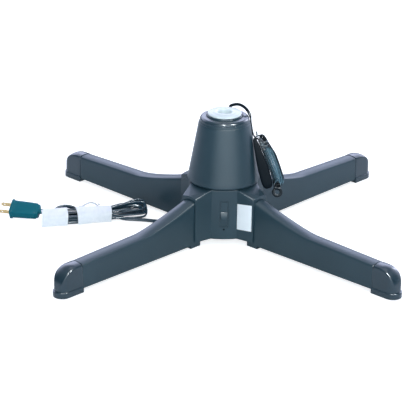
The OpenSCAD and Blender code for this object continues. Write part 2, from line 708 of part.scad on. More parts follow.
module turret_cap() color(GLOSS) difference() {
    rotate_extrude($fn = 96) polygon(concat(
        [[turret_top_r - turret_wall - FIT, shoulder_z - 6],
            [turret_top_r - turret_wall - FIT, shoulder_z + SEAT], [turret_top_r, shoulder_z + SEAT]],
        arc([turret_top_r - turret_round, shoulder_z + cap_rise - turret_round], turret_round, 8, 84, 7),
        [[collar_r + SEAT, roof_top_z + 0.4], [collar_r + SEAT, shoulder_z + 1.2],
            [turret_top_r - turret_wall - 2.4, shoulder_z + 0.6],
            [turret_top_r - turret_wall - 2.4, shoulder_z - 6]]));
    translate([cord_exit[0], cord_exit[1], shoulder_z - 8]) cylinder(r = cord_bush_r + SEAT, h = 16);
}

module turret_floor() color(BODY) difference() {
    translate([0, 0, floor_z]) cylinder(r = turret_r(spindle_top) - turret_wall - FIT, h = floor_t);
    translate([0, 0, floor_z - 1]) cylinder(r = spindle_r + SEAT, h = floor_t + 2);
    translate([0, 0, floor_z - 1]) difference() {
        cylinder(r = ball_ring_r + race_w / 2 + SEAT, h = 1 + race_seat);
        translate([0, 0, -1]) cylinder(r = ball_ring_r - race_w / 2 - SEAT, h = 4);
    }
    for (i = [0:3]) rotate(90 * i + 45) translate([boss_turret_r, 0, floor_z - 1])
        cylinder(r = 1.8, h = floor_t + 2);
}

module floor_screws() color(STEEL)
    for (i = [0:3]) rotate(90 * i + 45) translate([boss_turret_r, 0, floor_z - 1.6])
        screw(3.1, 1.6, 1.4, floor_screw_l);

module pole_tube() color(BODY) difference() {
    union() {
        translate([0, 0, spindle_top]) cylinder(r = tube_r, h = collar_z - spindle_top);
        // collar with a round edge
        rotate_extrude() polygon(concat([[tube_r - 1, shoulder_z + 1.5], [collar_r, shoulder_z + 1.5]],
            arc([collar_r - 1.1, collar_z - 1.1], 1.1, 0, 90, 5), [[tube_r - 1, collar_z]]));
    }
    translate([0, 0, spindle_top - 1]) cylinder(r = tube_bore_r, h = collar_z);
}

// Disc on the spindle's flange that closes the foot of the tube; the pole stands on it
module pole_seat() color(BODY) translate([0, 0, tube_z]) difference() {
    cylinder(r = tube_bore_r - SEAT, h = pole_seat_t);
    translate([0, 0, -1]) cylinder(r = 4, h = pole_seat_t + 2);
}

module spindle() color(STEEL) difference() {
    union() {
        translate([0, 0, cup_top]) cylinder(r = spindle_r, h = spindle_top - cup_top + CUT);
        translate([0, 0, spindle_top]) cylinder(r = spindle_r + 6, h = spindle_flange_t);
    }
    translate([0, 0, cup_top + 9]) cylinder(r = spindle_bore_r, h = spindle_top);
    translate([0, 0, cup_top - 1]) cylinder(r = 2.5, h = 12);
}

// ---- pole adapters ----
module adapter(outer_r, bore_r, z, rim_r, rim_t) difference() {
    union() {
        translate([0, 0, z - sleeve_l]) cylinder(r = outer_r, h = sleeve_l + rim_t);
        rotate_extrude($fn = 96) polygon([[bore_r, z], [rim_r, z], [rim_r, z + rim_t - 0.3],
            [rim_r - 0.3, z + rim_t], [bore_r, z + rim_t]]);
    }
    translate([0, 0, z - sleeve_l - 1]) cylinder(r = bore_r, h = sleeve_l + rim_t + 2);
    translate([0, 0, z + rim_t - 1.2]) cylinder(r1 = bore_r, r2 = bore_r + 1.3, h = 1.2 + CUT);
}

module adapter_large() color(WHITE)
    adapter(bore_large / 2 + adapter_wall, bore_large / 2, collar_z, flange_r, flange_t);
module adapter_middle() color(WHITE)
    adapter(bore_large / 2 - adapter_fit, bore_middle / 2, collar_z + flange_t,
        flange_r - 2.1, inner_flange_t);
module adapter_small() color(WHITE)
    adapter(bore_middle / 2 - adapter_fit, bore_small / 2, collar_z + flange_t + inner_flange_t,
        flange_r - 6.8, inner_flange_t);

// ---- mains lead ----
lead_exit_z = 18;
relief_r = 4.6;
LEAD_ROUTE = [[-70, 0, 18], [-75, 7, 16], [-79, 17, 9.5], [-84, 26, 4.4], [-92, 31, 2.8],
    [-104, 34, 2.8], [-118, 36.5, 2.8], [-132, 38.5, 2.8], [-143, 42, 3.4]];
module strain_relief() color(CORD) {
    translate([-face_side + base_wall + FIT + 2, 0, lead_exit_z]) rotate([0, -90, 0]) {
        cylinder(r = relief_r + 1.6, h = 2);
        cylinder(r = relief_r - SEAT, h = base_wall + 3);
    }
    translate([-face_side - 0.3, 0, lead_exit_z]) rotate([0, -90, 0])
        cylinder(r1 = relief_r + 1, r2 = lead_w / 2 + 0.6, h = -LEAD_ROUTE[0][0] - face_side - 0.3);
}
module mains_lead() color(CORD) tube_along(spline(LEAD_ROUTE, 3), lead_w, [0, 0, 1]);

// The hank is a closed outline, wider at the end next to the plug
HANK_TIP = [-112, 57];     // middle of the bights next to the stand
HANK_TAIL = [-233, 34];    // middle of the bights next to the plug
hank_slim = 12;
hank_wide = 15;
module mains_hank() color(CORD) linear_extrude(hank_t) hull() {
    translate(HANK_TIP) circle(hank_slim, $fn = 32);
    translate(HANK_TAIL) circle(hank_wide, $fn = 32);
}

PLUG_REAR = [-250.5, 41.5, 12]; // rear of the plug's body
plug_turn = 166;                // direction of the blades, seen from above
plug_roll = -28;                // how far it has rolled on its edge
plug_l = 40;
module plug_slab(w, h, x0, x1) translate([x0, 0, 0]) rotate([90, 0, 90]) linear_extrude(x1 - x0) {
    square([w - h * 0.5, h], center = true);
    square([w, h * 0.5], center = true);
    for (sx = [-1, 1], sy = [-1, 1]) translate([sx * (w / 2 - h * 0.25), sy * h * 0.25])
        circle(h * 0.25, $fn = 24);
}
module at_plug() translate(PLUG_REAR) rotate([0, 0, plug_turn]) rotate([plug_roll, 0, 0]) children();
module plug_body() color(TEAL) at_plug() {
    hull() {
        plug_slab(16, 11.6, 0, 1);
        plug_slab(21, 13.8, 7, 8);
        plug_slab(22.2, 14.8, plug_l - 4.5, plug_l - 3.5);
    }
    plug_slab(25.4, 17, plug_l - 3.5 - CUT, plug_l);
    plug_slab(9, 7, -11, 1);
}
blade_gap = 12.7;
module plug_blades() color(BRASS) at_plug()
    for (s = [-1, 1]) translate([plug_l, s * blade_gap / 2, 0]) difference() {
        translate([0, -0.75, -3.2]) cube([16.5, 1.5, 6.4]);
        translate([12, 0, 0]) rotate([90, 0, 0]) cylinder(r = 1.6, h = 4, center = true);
    }

// ---- cord for the lights, on the turret ----
cord_exit = [8, 26.4];
cord_bush_r = 2.8;
LIGHT_ROUTE = [[8, 26.4, 171], [8.6, 26.1, 172.6], [10.6, 25.5, 173.9], [13.8, 24.2, 175.2],
    [18, 21.7, 176.5], [22.6, 18.1, 176.5], [26.2, 14.5, 175.3], [29.1, 11.1, 173.7], [31.6, 8, 171.2],
    [33.6, 5.4, 167.9], [34.8, 3, 163.6], [35.3, 0.8, 159.2], [36.6, -0.6, 151.4], [37.7, -1.1, 146.1],
    [39.4, -1.4, 140.6], [43, -1.8, 137], [48.5, -1.5, 134]];
module cord_bush() color(RUBBER) translate([cord_exit[0], cord_exit[1], shoulder_z - 1]) {
    cylinder(r = cord_bush_r, h = roof_top_z - shoulder_z + 2);
    translate([0, 0, roof_top_z - shoulder_z + 1.6])
        cylinder(r1 = cord_bush_r + 0.4, r2 = light_cord_w / 2 + 0.2, h = LIGHT_ROUTE[0][2] - roof_top_z - 0.6);
}
module light_cord() color(CORD)
    tube_along(spline(LIGHT_ROUTE, 2), light_cord_w, [0, 1, 0], light_cord_t / light_cord_w);

// Plane of the hanging hank: its top, and how far it leans forwards
HANG_TOP = [46, -4, 140];
hang_forward = 13.5;
bundle_t = 10;
module hanging() translate(HANG_TOP) rotate([-hang_forward, 0, 0]) rotate([90, 0, 0]) children();
module light_hank() color(CORD) hanging() {
    translate([0, 0, -bundle_t]) linear_extrude(bundle_t) hull() {
        translate([5, -3]) circle(4.5, $fn = 32);
        translate([12, -15.5]) circle(7, $fn = 32);
        translate([27, -60]) circle(9, $fn = 32);
    }
    // one loop hangs out below the others, in front of them
    translate([26, -71, -2]) linear_extrude(12) difference() {
        circle(6, $fn = 32);
        circle(3, $fn = 24);
    }
}
// Socket for the lights, lying against the hank, with a tapered neck
tap_l = 24;
tap_w = 14;
tap_at = [4.8, -38.3];         // where its neck ends, in the hanging plane
tap_t = 11;
neck_l = 38;
module light_tap() color(CORD) hanging() translate([tap_at[0], tap_at[1], SEAT]) rotate(-73.5) difference() {
    linear_extrude(tap_t) {
        translate([0, -tap_w / 2]) square([tap_l, tap_w]);
        translate([tap_l, 0]) circle(tap_w / 2, $fn = 32);
        polygon([[-neck_l, -2], [0, -tap_w * 0.4], [0, tap_w * 0.4], [-neck_l, 2]]);
    }
    for (x = [1, 10.5, 20], s = [-1, 1]) translate([x, s * 3 - 0.75, tap_t / 2]) cube([6.5, 1.5, tap_t]);
}
module twist_tie() color(CORD) hanging() {
    translate([-1.4, -9.5, -bundle_t - 1]) cube([1.2, 3, bundle_t + 12]);
    translate([-1.4, -9.5, -bundle_t - 1.1]) cube([21, 3, 1]);
    translate([7, -8, -bundle_t - 1.1]) rotate(125) cube([19, 1.2, 1]);
}

base_shell();
bottom_cover();
cover_screws();
motor();
motor_plate();
motor_screws();
pinion();
lower_race();
spindle_bush();
brush_holder();
brushes();
switch_body();
switch_knob();
bearing_balls();
ball_cage();
upper_race();
turret_shell();
turret_cap();
turret_floor();
floor_screws();
pole_tube();
spindle();
slip_drum();
slip_rings();
drive_cup();
spindle_screw();
pole_seat();
adapter_large();
adapter_middle();
adapter_small();
leg_front_right();
leg_front_left();
leg_rear_left();
leg_rear_right();
toe_front_right();
toe_front_left();
toe_rear_left();
toe_rear_right();
pad_front_right();
pad_front_left();
pad_rear_left();
pad_rear_right();
strain_relief();
mains_lead();
mains_hank();
plug_body();
plug_blades();
cord_bush();
light_cord();
light_hank();
light_tap();
twist_tie();
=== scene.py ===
# %% [markdown]
# # A rotating stand for an artificial tree
#
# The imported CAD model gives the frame: every node stands where it belongs and every body can move.
# This notebook dresses that frame. Smooth surfaces go over the moulded parts, strands take the place
# of the plain cord solids, and every material is built from maths rather than from pictures.
# Lengths are written in millimetres and turned into metres only when a mesh is made.

# %% Frame
import bmesh
import bpy
import json
import math
import numpy as np
from mathutils import Matrix, Vector


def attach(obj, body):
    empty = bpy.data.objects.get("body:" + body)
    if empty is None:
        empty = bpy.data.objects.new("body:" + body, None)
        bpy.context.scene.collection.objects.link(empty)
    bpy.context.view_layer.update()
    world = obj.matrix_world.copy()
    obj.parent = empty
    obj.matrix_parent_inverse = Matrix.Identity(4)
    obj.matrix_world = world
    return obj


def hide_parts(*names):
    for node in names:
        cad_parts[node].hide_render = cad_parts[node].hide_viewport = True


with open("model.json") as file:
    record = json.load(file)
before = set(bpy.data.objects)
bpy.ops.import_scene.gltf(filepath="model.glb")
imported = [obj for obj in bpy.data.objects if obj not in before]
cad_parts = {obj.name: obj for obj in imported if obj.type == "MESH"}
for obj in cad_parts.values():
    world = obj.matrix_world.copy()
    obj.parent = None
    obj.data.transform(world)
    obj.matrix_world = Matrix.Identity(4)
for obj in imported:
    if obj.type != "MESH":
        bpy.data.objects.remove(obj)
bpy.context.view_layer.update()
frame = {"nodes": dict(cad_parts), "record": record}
nodes = frame["nodes"]

# %% [markdown]
# ## Camera
#
# The camera was found by fitting a pinhole model to the photograph. Its numbers are the focal length in
# pixels, the distance to the origin in metres, and three angles. The principal point isn't in the middle
# of the picture, which the two lens shifts take care of.

# %% Camera
DISTANCE, ELEVATION, AZIMUTH, ROLL = 2.752785, 22.918, 2.374, -1.153
FOCAL_PX, CENTRE_PX, WIDTH_PX = 2019.993, (222.329, 231.917), 404


def camera_axes():
    """Right, up and forward vectors of the camera in the row frame."""
    e, a, r = (math.radians(v) for v in (ELEVATION, AZIMUTH, ROLL))
    right = np.array([math.cos(a), -math.sin(a), 0.0])
    up = np.array([math.sin(a) * math.sin(e), math.cos(a) * math.sin(e), math.cos(e)])
    ahead = np.array([math.sin(a) * math.cos(e), math.cos(a) * math.cos(e), -math.sin(e)])
    return math.cos(r) * right - math.sin(r) * up, math.sin(r) * right + math.cos(r) * up, ahead


right, up, ahead = camera_axes()
camera_data = bpy.data.cameras.new("camera")
camera = bpy.data.objects.new("camera", camera_data)
bpy.context.scene.collection.objects.link(camera)
camera.matrix_world = Matrix([[*row, p] for row, p in zip(np.array([right, up, -ahead]).T, -DISTANCE * ahead)]
                             + [[0, 0, 0, 1]])
camera_data.sensor_width = 36
camera_data.lens = 36 * FOCAL_PX / WIDTH_PX
camera_data.shift_x = (WIDTH_PX / 2 - CENTRE_PX[0]) / WIDTH_PX
camera_data.shift_y = (CENTRE_PX[1] - WIDTH_PX / 2) / WIDTH_PX
bpy.context.scene.camera = camera
print("lens", round(camera_data.lens, 2), "shift", round(camera_data.shift_x, 4),
      round(camera_data.shift_y, 4))

# %% [markdown]
# ## Meshes from numbers
#
# A surface is a list of rings. `loft` joins each ring to the next one, `revolve` turns a profile about
# the axis, and `piece` makes the object, gives it a material and lets it ride on its body.

# %% Mesh helpers
MM = 0.001


def loft(rings, closed=True, caps=(True, True)):
    """Points and faces of a skin over rings that all have the same number of points."""
    rings = np.asarray(rings, float)
    count, n = rings.shape[:2]
    faces = []
    for i in range(count - 1):
        for k in range(n if closed else n - 1):
            m = (k + 1) % n
            faces.append((i * n + k, i * n + m, (i + 1) * n + m, (i + 1) * n + k))
    if closed and caps[0]:
        faces.append(tuple(range(n - 1, -1, -1)))
    if closed and caps[1]:
        faces.append(tuple((count - 1) * n + k for k in range(n)))
    return rings.reshape(-1, 3), faces


def revolve(profile, segments=96, centre=(0, 0)):
    """Skin of a profile of (radius, height) points that turns about the vertical through centre."""
    turn = np.linspace(0, 2 * np.pi, segments, endpoint=False)
    rings = [np.column_stack([centre[0] + r * np.cos(turn), centre[1] + r * np.sin(turn),
                              np.full(segments, z)])
             for r, z in profile]
    return loft(rings, caps=(False, False))


def join(*parts):
    """Several lists of points and faces as one."""
    points, faces, start = [], [], 0
    for p, f in parts:
        points.append(np.asarray(p, float))
        faces += [tuple(i + start for i in face) for face in f]
        start += len(p)
    return np.vstack(points), faces


def turned(part, angle):
    """A part turned about the vertical axis by an angle in degrees."""
    a = math.radians(angle)
    m = np.array([[math.cos(a), -math.sin(a), 0], [math.sin(a), math.cos(a), 0], [0, 0, 1]])
    return part[0] @ m.T, part[1]


def piece(name, part, body, material, replaces=(), sharp=38, clean=True):
    """A mesh object from points in millimetres."""
    points, faces = part
    mesh = bpy.data.meshes.new(name)
    mesh.from_pydata((np.asarray(points) * MM).tolist(), [], faces)
    mesh.update()
    if clean:
        bm = bmesh.new()
        bm.from_mesh(mesh)
        bmesh.ops.remove_doubles(bm, verts=bm.verts, dist=1e-6)
        bmesh.ops.recalc_face_normals(bm, faces=bm.faces)
        bm.to_mesh(mesh)
        bm.free()
    mesh.shade_smooth()
    mesh.set_sharp_from_angle(angle=math.radians(sharp))
    mesh.materials.append(material)
    obj = bpy.data.objects.new(name, mesh)
    bpy.context.scene.collection.objects.link(obj)
    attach(obj, body)
    if replaces:
        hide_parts(*replaces)
    return obj


def arc(centre, radius, start, end, n):
    """n + 1 points of a circle between two angles in degrees."""
    t = np.radians(np.linspace(start, end, n + 1))
    return [(centre[0] + radius * math.cos(a), centre[1] + radius * math.sin(a)) for a in t]


def smooth_step(x, low, high):
    """0 below low, 1 above high and a smooth rise between them."""
    t = np.clip((np.asarray(x, float) - low) / (high - low), 0, 1)
    return t * t * (3 - 2 * t)


# %% [markdown]
# ## Shader maths
#
# `Val` wraps a socket of a shader node, so that a material can be written as a formula. Adding,
# subtracting or multiplying two values makes the Math node that does it.

# %% Shader helpers
class Val:
    """A value that flows through a node tree."""

    def __init__(self, tree, socket):
        self.tree, self.socket = tree, socket

    def math(self, operation, *others, clamp=False):
        """The Math node of an operation on this value and others."""
        node = self.tree.nodes.new("ShaderNodeMath")
        node.operation, node.use_clamp = operation, clamp
        for slot, value in zip(node.inputs, (self, *others)):
            if isinstance(value, Val):
                self.tree.links.new(value.socket, slot)
            else:
                slot.default_value = value
        return Val(self.tree, node.outputs[0])

    def __add__(self, other):
        return self.math("ADD", other)

    def __sub__(self, other):
        return self.math("SUBTRACT", other)

    def __mul__(self, other):
        return self.math("MULTIPLY", other)

    def __pow__(self, other):
        return self.math("POWER", other)

    def __rsub__(self, other):
        return (self * -1.0) + other

    __radd__, __rmul__ = __add__, __mul__

    def ramp(self, low, high):
        """0 at low, 1 at high, clamped outside."""
        return ((self - low) * (1.0 / (high - low))).math("ADD", 0.0, clamp=True)


class Material:
    """A Principled material whose inputs are formulas of the position."""

    def __init__(self, name, **constants):
        self.data = bpy.data.materials.new(name)
        self.data.use_nodes = True
        self.tree = self.data.node_tree
        self.shader = self.tree.nodes["Principled BSDF"]
        for key, value in constants.items():
            self.shader.inputs[key.replace("_", " ")].default_value = value
        self.place = self.node("ShaderNodeTexCoord").outputs["Object"]

    def node(self, kind, settings=(), **inputs):
        """Any other node, with its settings and inputs."""
        made = self.tree.nodes.new(kind)
        for key, value in dict(settings).items():
            setattr(made, key, value)
        for key, value in inputs.items():
            slot = made.inputs[key.replace("_", " ")]
            if isinstance(value, Val):
                self.tree.links.new(value.socket, slot)
            elif isinstance(value, bpy.types.NodeSocket):
                self.tree.links.new(value, slot)
            else:
                slot.default_value = value
        return made

    def noise(self, scale, detail=2.0, stretch=(1, 1, 1), rough=0.5):
        """Noise between 0 and 1; a small stretch draws it out along that axis."""
        mapped = self.node("ShaderNodeMapping", Vector=self.place, Scale=stretch)
        made = self.node("ShaderNodeTexNoise", Vector=mapped.outputs[0], Scale=scale, Detail=detail,
                         Roughness=rough)
        return Val(self.tree, made.outputs[0])

    def axis(self, index):
        """The position along x, y or z in metres."""
        return Val(self.tree, self.node("ShaderNodeSeparateXYZ", Vector=self.place).outputs[index])

    def colour(self, factor, dark, light):
        """Base colour between two colours."""
        mix = self.node("ShaderNodeMix", settings={"data_type": "RGBA"})
        self.tree.links.new(factor.socket, mix.inputs[0])
        mix.inputs[6].default_value, mix.inputs[7].default_value = (*dark, 1), (*light, 1)
        self.tree.links.new(mix.outputs[2], self.shader.inputs["Base Color"])
        return self

    def rough(self, value):
        """Roughness from a formula."""
        self.tree.links.new(value.socket, self.shader.inputs["Roughness"])
        return self

    def bump(self, height, distance, strength=1.0):
        """Relief from a height between 0 and 1 over a distance in metres."""
        made = self.node("ShaderNodeBump", Height=height, Distance=distance, Strength=strength)
        self.tree.links.new(made.outputs[0], self.shader.inputs["Normal"])
        return self


# %% [markdown]
# ## Materials
#
# The stand is moulded in a dark slate plastic with a fine grain. Its toe caps and the shoulder of the
# turret are the same plastic, polished. The cords are very dark and smooth. A paler band on the light
# cord's hank is painted light and shade. The plug is teal, and the adapters are off-white and let a little
# light through.

# %% Materials
def plastic(name, dark, light, rough, grain, coat=0.0, **more):
    """Moulded plastic: slow drifts of colour, patches of gloss and a fine grain."""
    m = Material(name, Coat_Weight=coat, **more)
    drift = m.noise(14, 3.0)
    speck = m.noise(900, 2.0)
    m.colour((drift * 0.8 + speck * 0.2).ramp(0.3, 0.7), dark, light)
    m.rough(m.noise(38, 3.0) * 0.12 + speck * 0.06 + (rough - 0.09))
    return m.bump(m.noise(2200, 2.0) * 0.7 + m.noise(420, 1.0) * 0.3, grain)


slate = plastic("slate", (0.0165, 0.041, 0.055), (0.0215, 0.051, 0.068), 0.34, 0.00006, IOR=1.5).data
gloss = plastic("gloss_slate", (0.015, 0.034, 0.047), (0.021, 0.045, 0.061), 0.24, 0.00001, coat=0.3,
                Coat_Roughness=0.1).data
white = plastic("white", (0.76, 0.84, 0.82), (0.84, 0.90, 0.88), 0.34, 0.00003, Subsurface_Weight=0.25,
                Subsurface_Radius=(0.004, 0.005, 0.004), Subsurface_Scale=1.0).data
nylon = plastic("nylon", (0.66, 0.64, 0.56), (0.74, 0.72, 0.64), 0.4, 0.00003).data
black = plastic("black", (0.012, 0.013, 0.014), (0.020, 0.021, 0.023), 0.45, 0.00004).data
rubber = plastic("rubber", (0.016, 0.016, 0.017), (0.028, 0.028, 0.030), 0.75, 0.0001).data
teal = plastic("teal", (0.0, 0.112, 0.150), (0.0, 0.142, 0.182), 0.36, 0.00004, Specular_IOR_Level=0.16).data
cord_skin = plastic("cord", (0.004, 0.024, 0.042), (0.008, 0.042, 0.068), 0.26, 0.00005, coat=0.2).data
# near black, darker than the cords: partly the tap's own plastic and partly painted shade for the shaded
# wedge beside the hank; the pin hole's disc uses it as painted shade
socket_and_painted_shade = plastic("socket", (0.003, 0.006, 0.009), (0.006, 0.011, 0.015), 0.42, 0.00004,
                      Specular_IOR_Level=0.05).data


def lights_cord_painted_light_material():
    """Nearly black, with painted light in the hank: a paler teal band across it, measured to the right and
    up, darkest on the left as painted shade and lightest right of the middle, where the strands are lit.
    """
    m = Material("lights_cord", Roughness=0.3, Specular_IOR_Level=0.25)
    height = m.axis(2)
    across = m.axis(0) + height * 0.386 - 0.1056
    # outline of the hank: the band of painted light and shade lies only inside it
    inside = across.ramp(-0.0095, -0.0075) * (1.0 - across.ramp(0.0062, 0.0072))
    inside = inside * (height + across * 0.4).ramp(0.0775, 0.0815)
    inside = inside * (1.0 - (height + across * 0.75).ramp(0.1265, 0.1290))
    # painted light: dark on the left where the strands lie in shade, lightest right of the middle, falling to
    # half at the right edge
    painted_lit_band = across.ramp(-0.0075, 0.0030) * (1.0 - across.ramp(0.0030, 0.0085) * 0.5)
    m.colour(inside * (painted_lit_band * 0.85 + 0.12) + m.noise(300, 2.0) * 0.04, (0.002, 0.006, 0.009),
             (0.120, 0.225, 0.280))
    return m.bump(m.noise(900, 2.0), 0.00004).data


lights_cord_painted_light_skin = lights_cord_painted_light_material()


def metal(name, dark, light, rough, stretch, **more):
    """Metal with fine lines along the least stretched axis."""
    m = Material(name, Metallic=1.0, **more)
    lines = m.noise(700, 3.0, stretch)
    m.colour((lines * 0.6 + m.noise(60, 2.0) * 0.4).ramp(0.25, 0.75), dark, light)
    m.rough(lines * 0.2 + (rough - 0.1))
    return m.bump(lines, 0.00002)


steel = metal("steel", (0.46, 0.47, 0.49), (0.66, 0.67, 0.69), 0.32, (1, 1, 0.04)).data
bronze = metal("bronze", (0.42, 0.27, 0.12), (0.62, 0.42, 0.20), 0.38, (1, 1, 0.1)).data
copper = metal("copper", (0.58, 0.30, 0.18), (0.80, 0.46, 0.30), 0.24, (1, 1, 0.05)).data
brass = metal("brass", (0.62, 0.44, 0.20), (0.86, 0.66, 0.36), 0.26, (0.05, 1, 1)).data

paper_material = Material("paper", Roughness=0.7)
fibres = paper_material.noise(240, 4.0, (1, 0.3, 1)) * 0.5 + paper_material.noise(40) * 0.5
paper_material.colour(fibres.ramp(0.3, 0.7), (0.80, 0.81, 0.84), (0.93, 0.93, 0.94))
paper_material.bump(paper_material.noise(1500, 3.0), 0.00004)
paper = paper_material.data

label_material = Material("label_paper", Roughness=0.6)
label_material.colour(label_material.noise(60, 3.0), (0.93, 0.95, 0.96), (0.98, 0.99, 0.99))
label_material.bump(label_material.noise(1500, 3.0), 0.00002)
label_paper = label_material.data

tie_material = Material("tie", Roughness=0.5)
specks = tie_material.noise(520, 2.0).ramp(0.42, 0.62)
tie_material.colour(specks, (0.008, 0.011, 0.014), (0.110, 0.145, 0.165))
tie_material.bump(tie_material.noise(700, 2.0), 0.0001)
tie_skin = tie_material.data

clear_material = Material("clear_tie", Roughness=0.2, IOR=1.45, Transmission_Weight=0.25, Alpha=0.8)
clear_material.colour(clear_material.noise(200).ramp(0.3, 0.7), (0.62, 0.65, 0.68), (0.78, 0.80, 0.83))
clear = clear_material.data

by_slot = {"body_plastic": slate, "gloss_plastic": gloss, "white_plastic": white, "gear_nylon": nylon,
           "steel": steel, "bronze": bronze, "copper": copper, "black_plastic": black, "pad_rubber": rubber,
           "cord_sheath": cord_skin, "teal_plastic": teal, "blade_brass": brass}
for entry in frame["record"]["subparts"]:
    obj = nodes[entry["node"]]
    obj.data.materials.clear()
    obj.data.materials.append(by_slot[entry["material_slot"]])
    obj.data.shade_smooth()
    obj.data.set_sharp_from_angle(angle=math.radians(32))
print("materials", len(bpy.data.materials))

# %% [markdown]
# ## Cords
#
# A cord is a route of points, smoothed by a Catmull-Rom curve, cut into equal steps and clothed with
# rings. Both cords of the stand are flat twin leads, so a ring is an ellipse with a waist.

# %% Cord helpers
def curve_through(points, steps=12):
    """Catmull-Rom curve: each stretch is a cubic that passes its two ends."""
    p = np.asarray(points, float)
    q = np.vstack([2 * p[0] - p[1], p, 2 * p[-1] - p[-2]])
    out = []
    for i in range(1, len(q) - 2):
        a, b, c, d = q[i - 1:i + 3]
        for t in np.arange(steps) / steps:
            out.append(0.5 * (2 * b + (c - a) * t + (2 * a - 5 * b + 4 * c - d) * t ** 2
                              + (3 * b - a - 3 * c + d) * t ** 3))
    return np.vstack(out + [q[-2]])


def even(points, step):
    """The same line with points at equal steps."""
    gaps = np.linalg.norm(np.diff(points, axis=0), axis=1)
    along = np.concatenate([[0], np.cumsum(gaps)])
    marks = np.linspace(0, along[-1], int(round(along[-1] / step)) + 1)
    return np.column_stack([np.interp(marks, along, points[:, k]) for k in range(3)])


def line_length(points):
    """Sum of the distances from each point to the next."""
    return float(np.linalg.norm(np.diff(points, axis=0), axis=1).sum())


def flat_lead(path, width, thick, lay, twist, sides=12):
    """Skin of a flat twin lead. lay is the direction of its width, at the start or at every point."""
    along = np.gradient(path, axis=0)
    along /= np.linalg.norm(along, axis=1)[:, None]
    lay = np.asarray(lay, float)
    u = lay if lay.ndim == 1 else lay[0]
    rings = []
    angle = np.linspace(0, 2 * np.pi, sides, endpoint=False)
    x = np.cos(angle) * width / 2
    y = np.sin(angle) * thick / 2 * (1 - 0.22 * np.exp(-(x / (0.18 * width)) ** 2))
    for i, t in enumerate(along):
        u = u if lay.ndim == 1 else lay[i]
        u = u - t * np.dot(u, t)
        u /= np.linalg.norm(u)
        v = np.cross(t, u)
        a = twist[i]
        wide, flat = math.cos(a) * u + math.sin(a) * v, -math.sin(a) * u + math.cos(a) * v
        rings.append(path[i] + x[:, None] * wide + y[:, None] * flat)
    return loft(rings)


# %% [markdown]
# ### Mains lead
#
# The lead leaves the housing on the left, comes down to the floor and runs into a hank: a racetrack that
# is wound nearly five times, low on the front side and higher on the back. The tips of the loops fan
# out and rise at the end next to the stand.

# %% Mains lead
LEAD_W, LEAD_T = 5.2, 2.8
LEAD_ROUTE = [(-70, 0, 18), (-75, 7, 16), (-79, 17, 9.5), (-84, 26, 4.4), (-92, 31, 2.8),
              (-104, 34, 2.8), (-118, 36.5, 2.8), (-132, 38.5, 2.8), (-143, 42, 3.4)]
TIP, TAIL = np.array([-112.0, 57.0]), np.array([-233.0, 34.0])
hank_u = (TAIL - TIP) / float(np.linalg.norm(TAIL - TIP))
hank_v = np.array([-hank_u[1], hank_u[0]])


def hank_point(u, v, z):
    """Point of the hank: u from the tips towards the plug, v towards the front, z above the floor."""
    return np.array([*(TIP + u * hank_u + v * hank_v), z])


# each turn: half width at the plug's end, height there, and how far along its bight lies
TURNS = [(13.4, 2.7, 120), (9.0, 3.4, 113), (12.2, 6.0, 117), (9.0, 7.4, 109), (10.2, 9.8, 114)]
# each bight at the tips: how far along, and (across, height) of the strand in front and of the one behind
TIPS = [(-1.6, (14.0, 3.4), (-11.0, 19.8)), (-1.0, (9.5, 6.8), (-11.0, 12.0)),
        (0.5, (5.0, 10.8), (-4.0, 18.6)), (1.2, (0.5, 5.8), (-6.0, 9.6))]
# the last back side swings out behind the tag and turns back inside the tips, and the end runs over the
# top of the hank to the plug
LAST_PASS = [(120, -17.4, 5.4), (114, -21.0, 9.6), (106, -21.6, 12.4), (96, -21.2, 11.8), (87, -19.2, 8.8),
             (77, -14.5, 6.6), (60, -10.5, 8.2), (40, -8.0, 11.6), (26, -7.0, 14.8), (14, -5.5, 15.0),
             (2, -3.0, 13.2), (-0.8, 1.0, 11.2), (5, 4.0, 10.6), (26, 4.0, 11.4), (42, 2.6, 10.2),
             (56, 0.5, 10.4), (80, -6, 12.0), (105, -9.5, 12.0)]
LEAD_END = [(-240.5, 39.4, 11.8), (-246.0, 40.5, 12.0)]


def hank_side(u, wide, z, sign, near, tip):
    """Point of a long side: from (sign * wide, z) it closes in a little and drifts to the tip's place."""
    t = 1 - smooth_step(u, near, near + 62)
    half = wide * (0.78 + 0.22 * smooth_step(u, 66, 98))
    return hank_point(u, sign * half * (1 - t) + tip[0] * t, z * (1 - t) + tip[1] * t)


def hank_route():
    """Front side, bight at the plug, back side, bight at the tips, and so on, one turn after another."""
    points = [np.array(p, float) for p in LEAD_ROUTE]
    for k, (wide, z, far) in enumerate(TURNS):
        if k == 0:
            points += [hank_point(u, v, z) for u, v in ((48, 8.4), (72, 11.6), (96, wide))]
        else:
            near, tip, _ = TIPS[k - 1]
            points += [hank_side(u, wide, z, 1, near, tip) for u in (near + 8, near + 24, 48, 72, 96)
                       if u < far]
        points += [hank_point(far + wide * math.cos(a), wide * math.sin(a), z)
                   for a in np.radians([50, 0, -50])]
        if k < len(TIPS):
            near, ahead_tip, tip = TIPS[k]
            points += [hank_side(u, wide, z, -1, near, tip) for u in (96, 72, 48, near + 24, near + 8)]
            middle, half = (np.array(ahead_tip) + tip) / 2, (np.array(ahead_tip) - tip) / 2
            for s in (-0.82, 0.0, 0.82):
                v, height = middle + s * half
                points.append(hank_point(near - 6.5 * math.sqrt(1 - s * s), v, height))
    points += [hank_point(*q) for q in LAST_PASS] + [np.array(p) for p in LEAD_END]
    return points


lead_path = even(curve_through(hank_route(), 10), 2.4)
lead_steps = np.arange(len(lead_path))
lead_twist = 0.9 * np.sin(lead_steps * 0.019) + 0.35 * np.sin(lead_steps * 0.053 + 1)
lead_path[:, 2] = np.maximum(lead_path[:, 2], LEAD_W / 2 + 0.05)
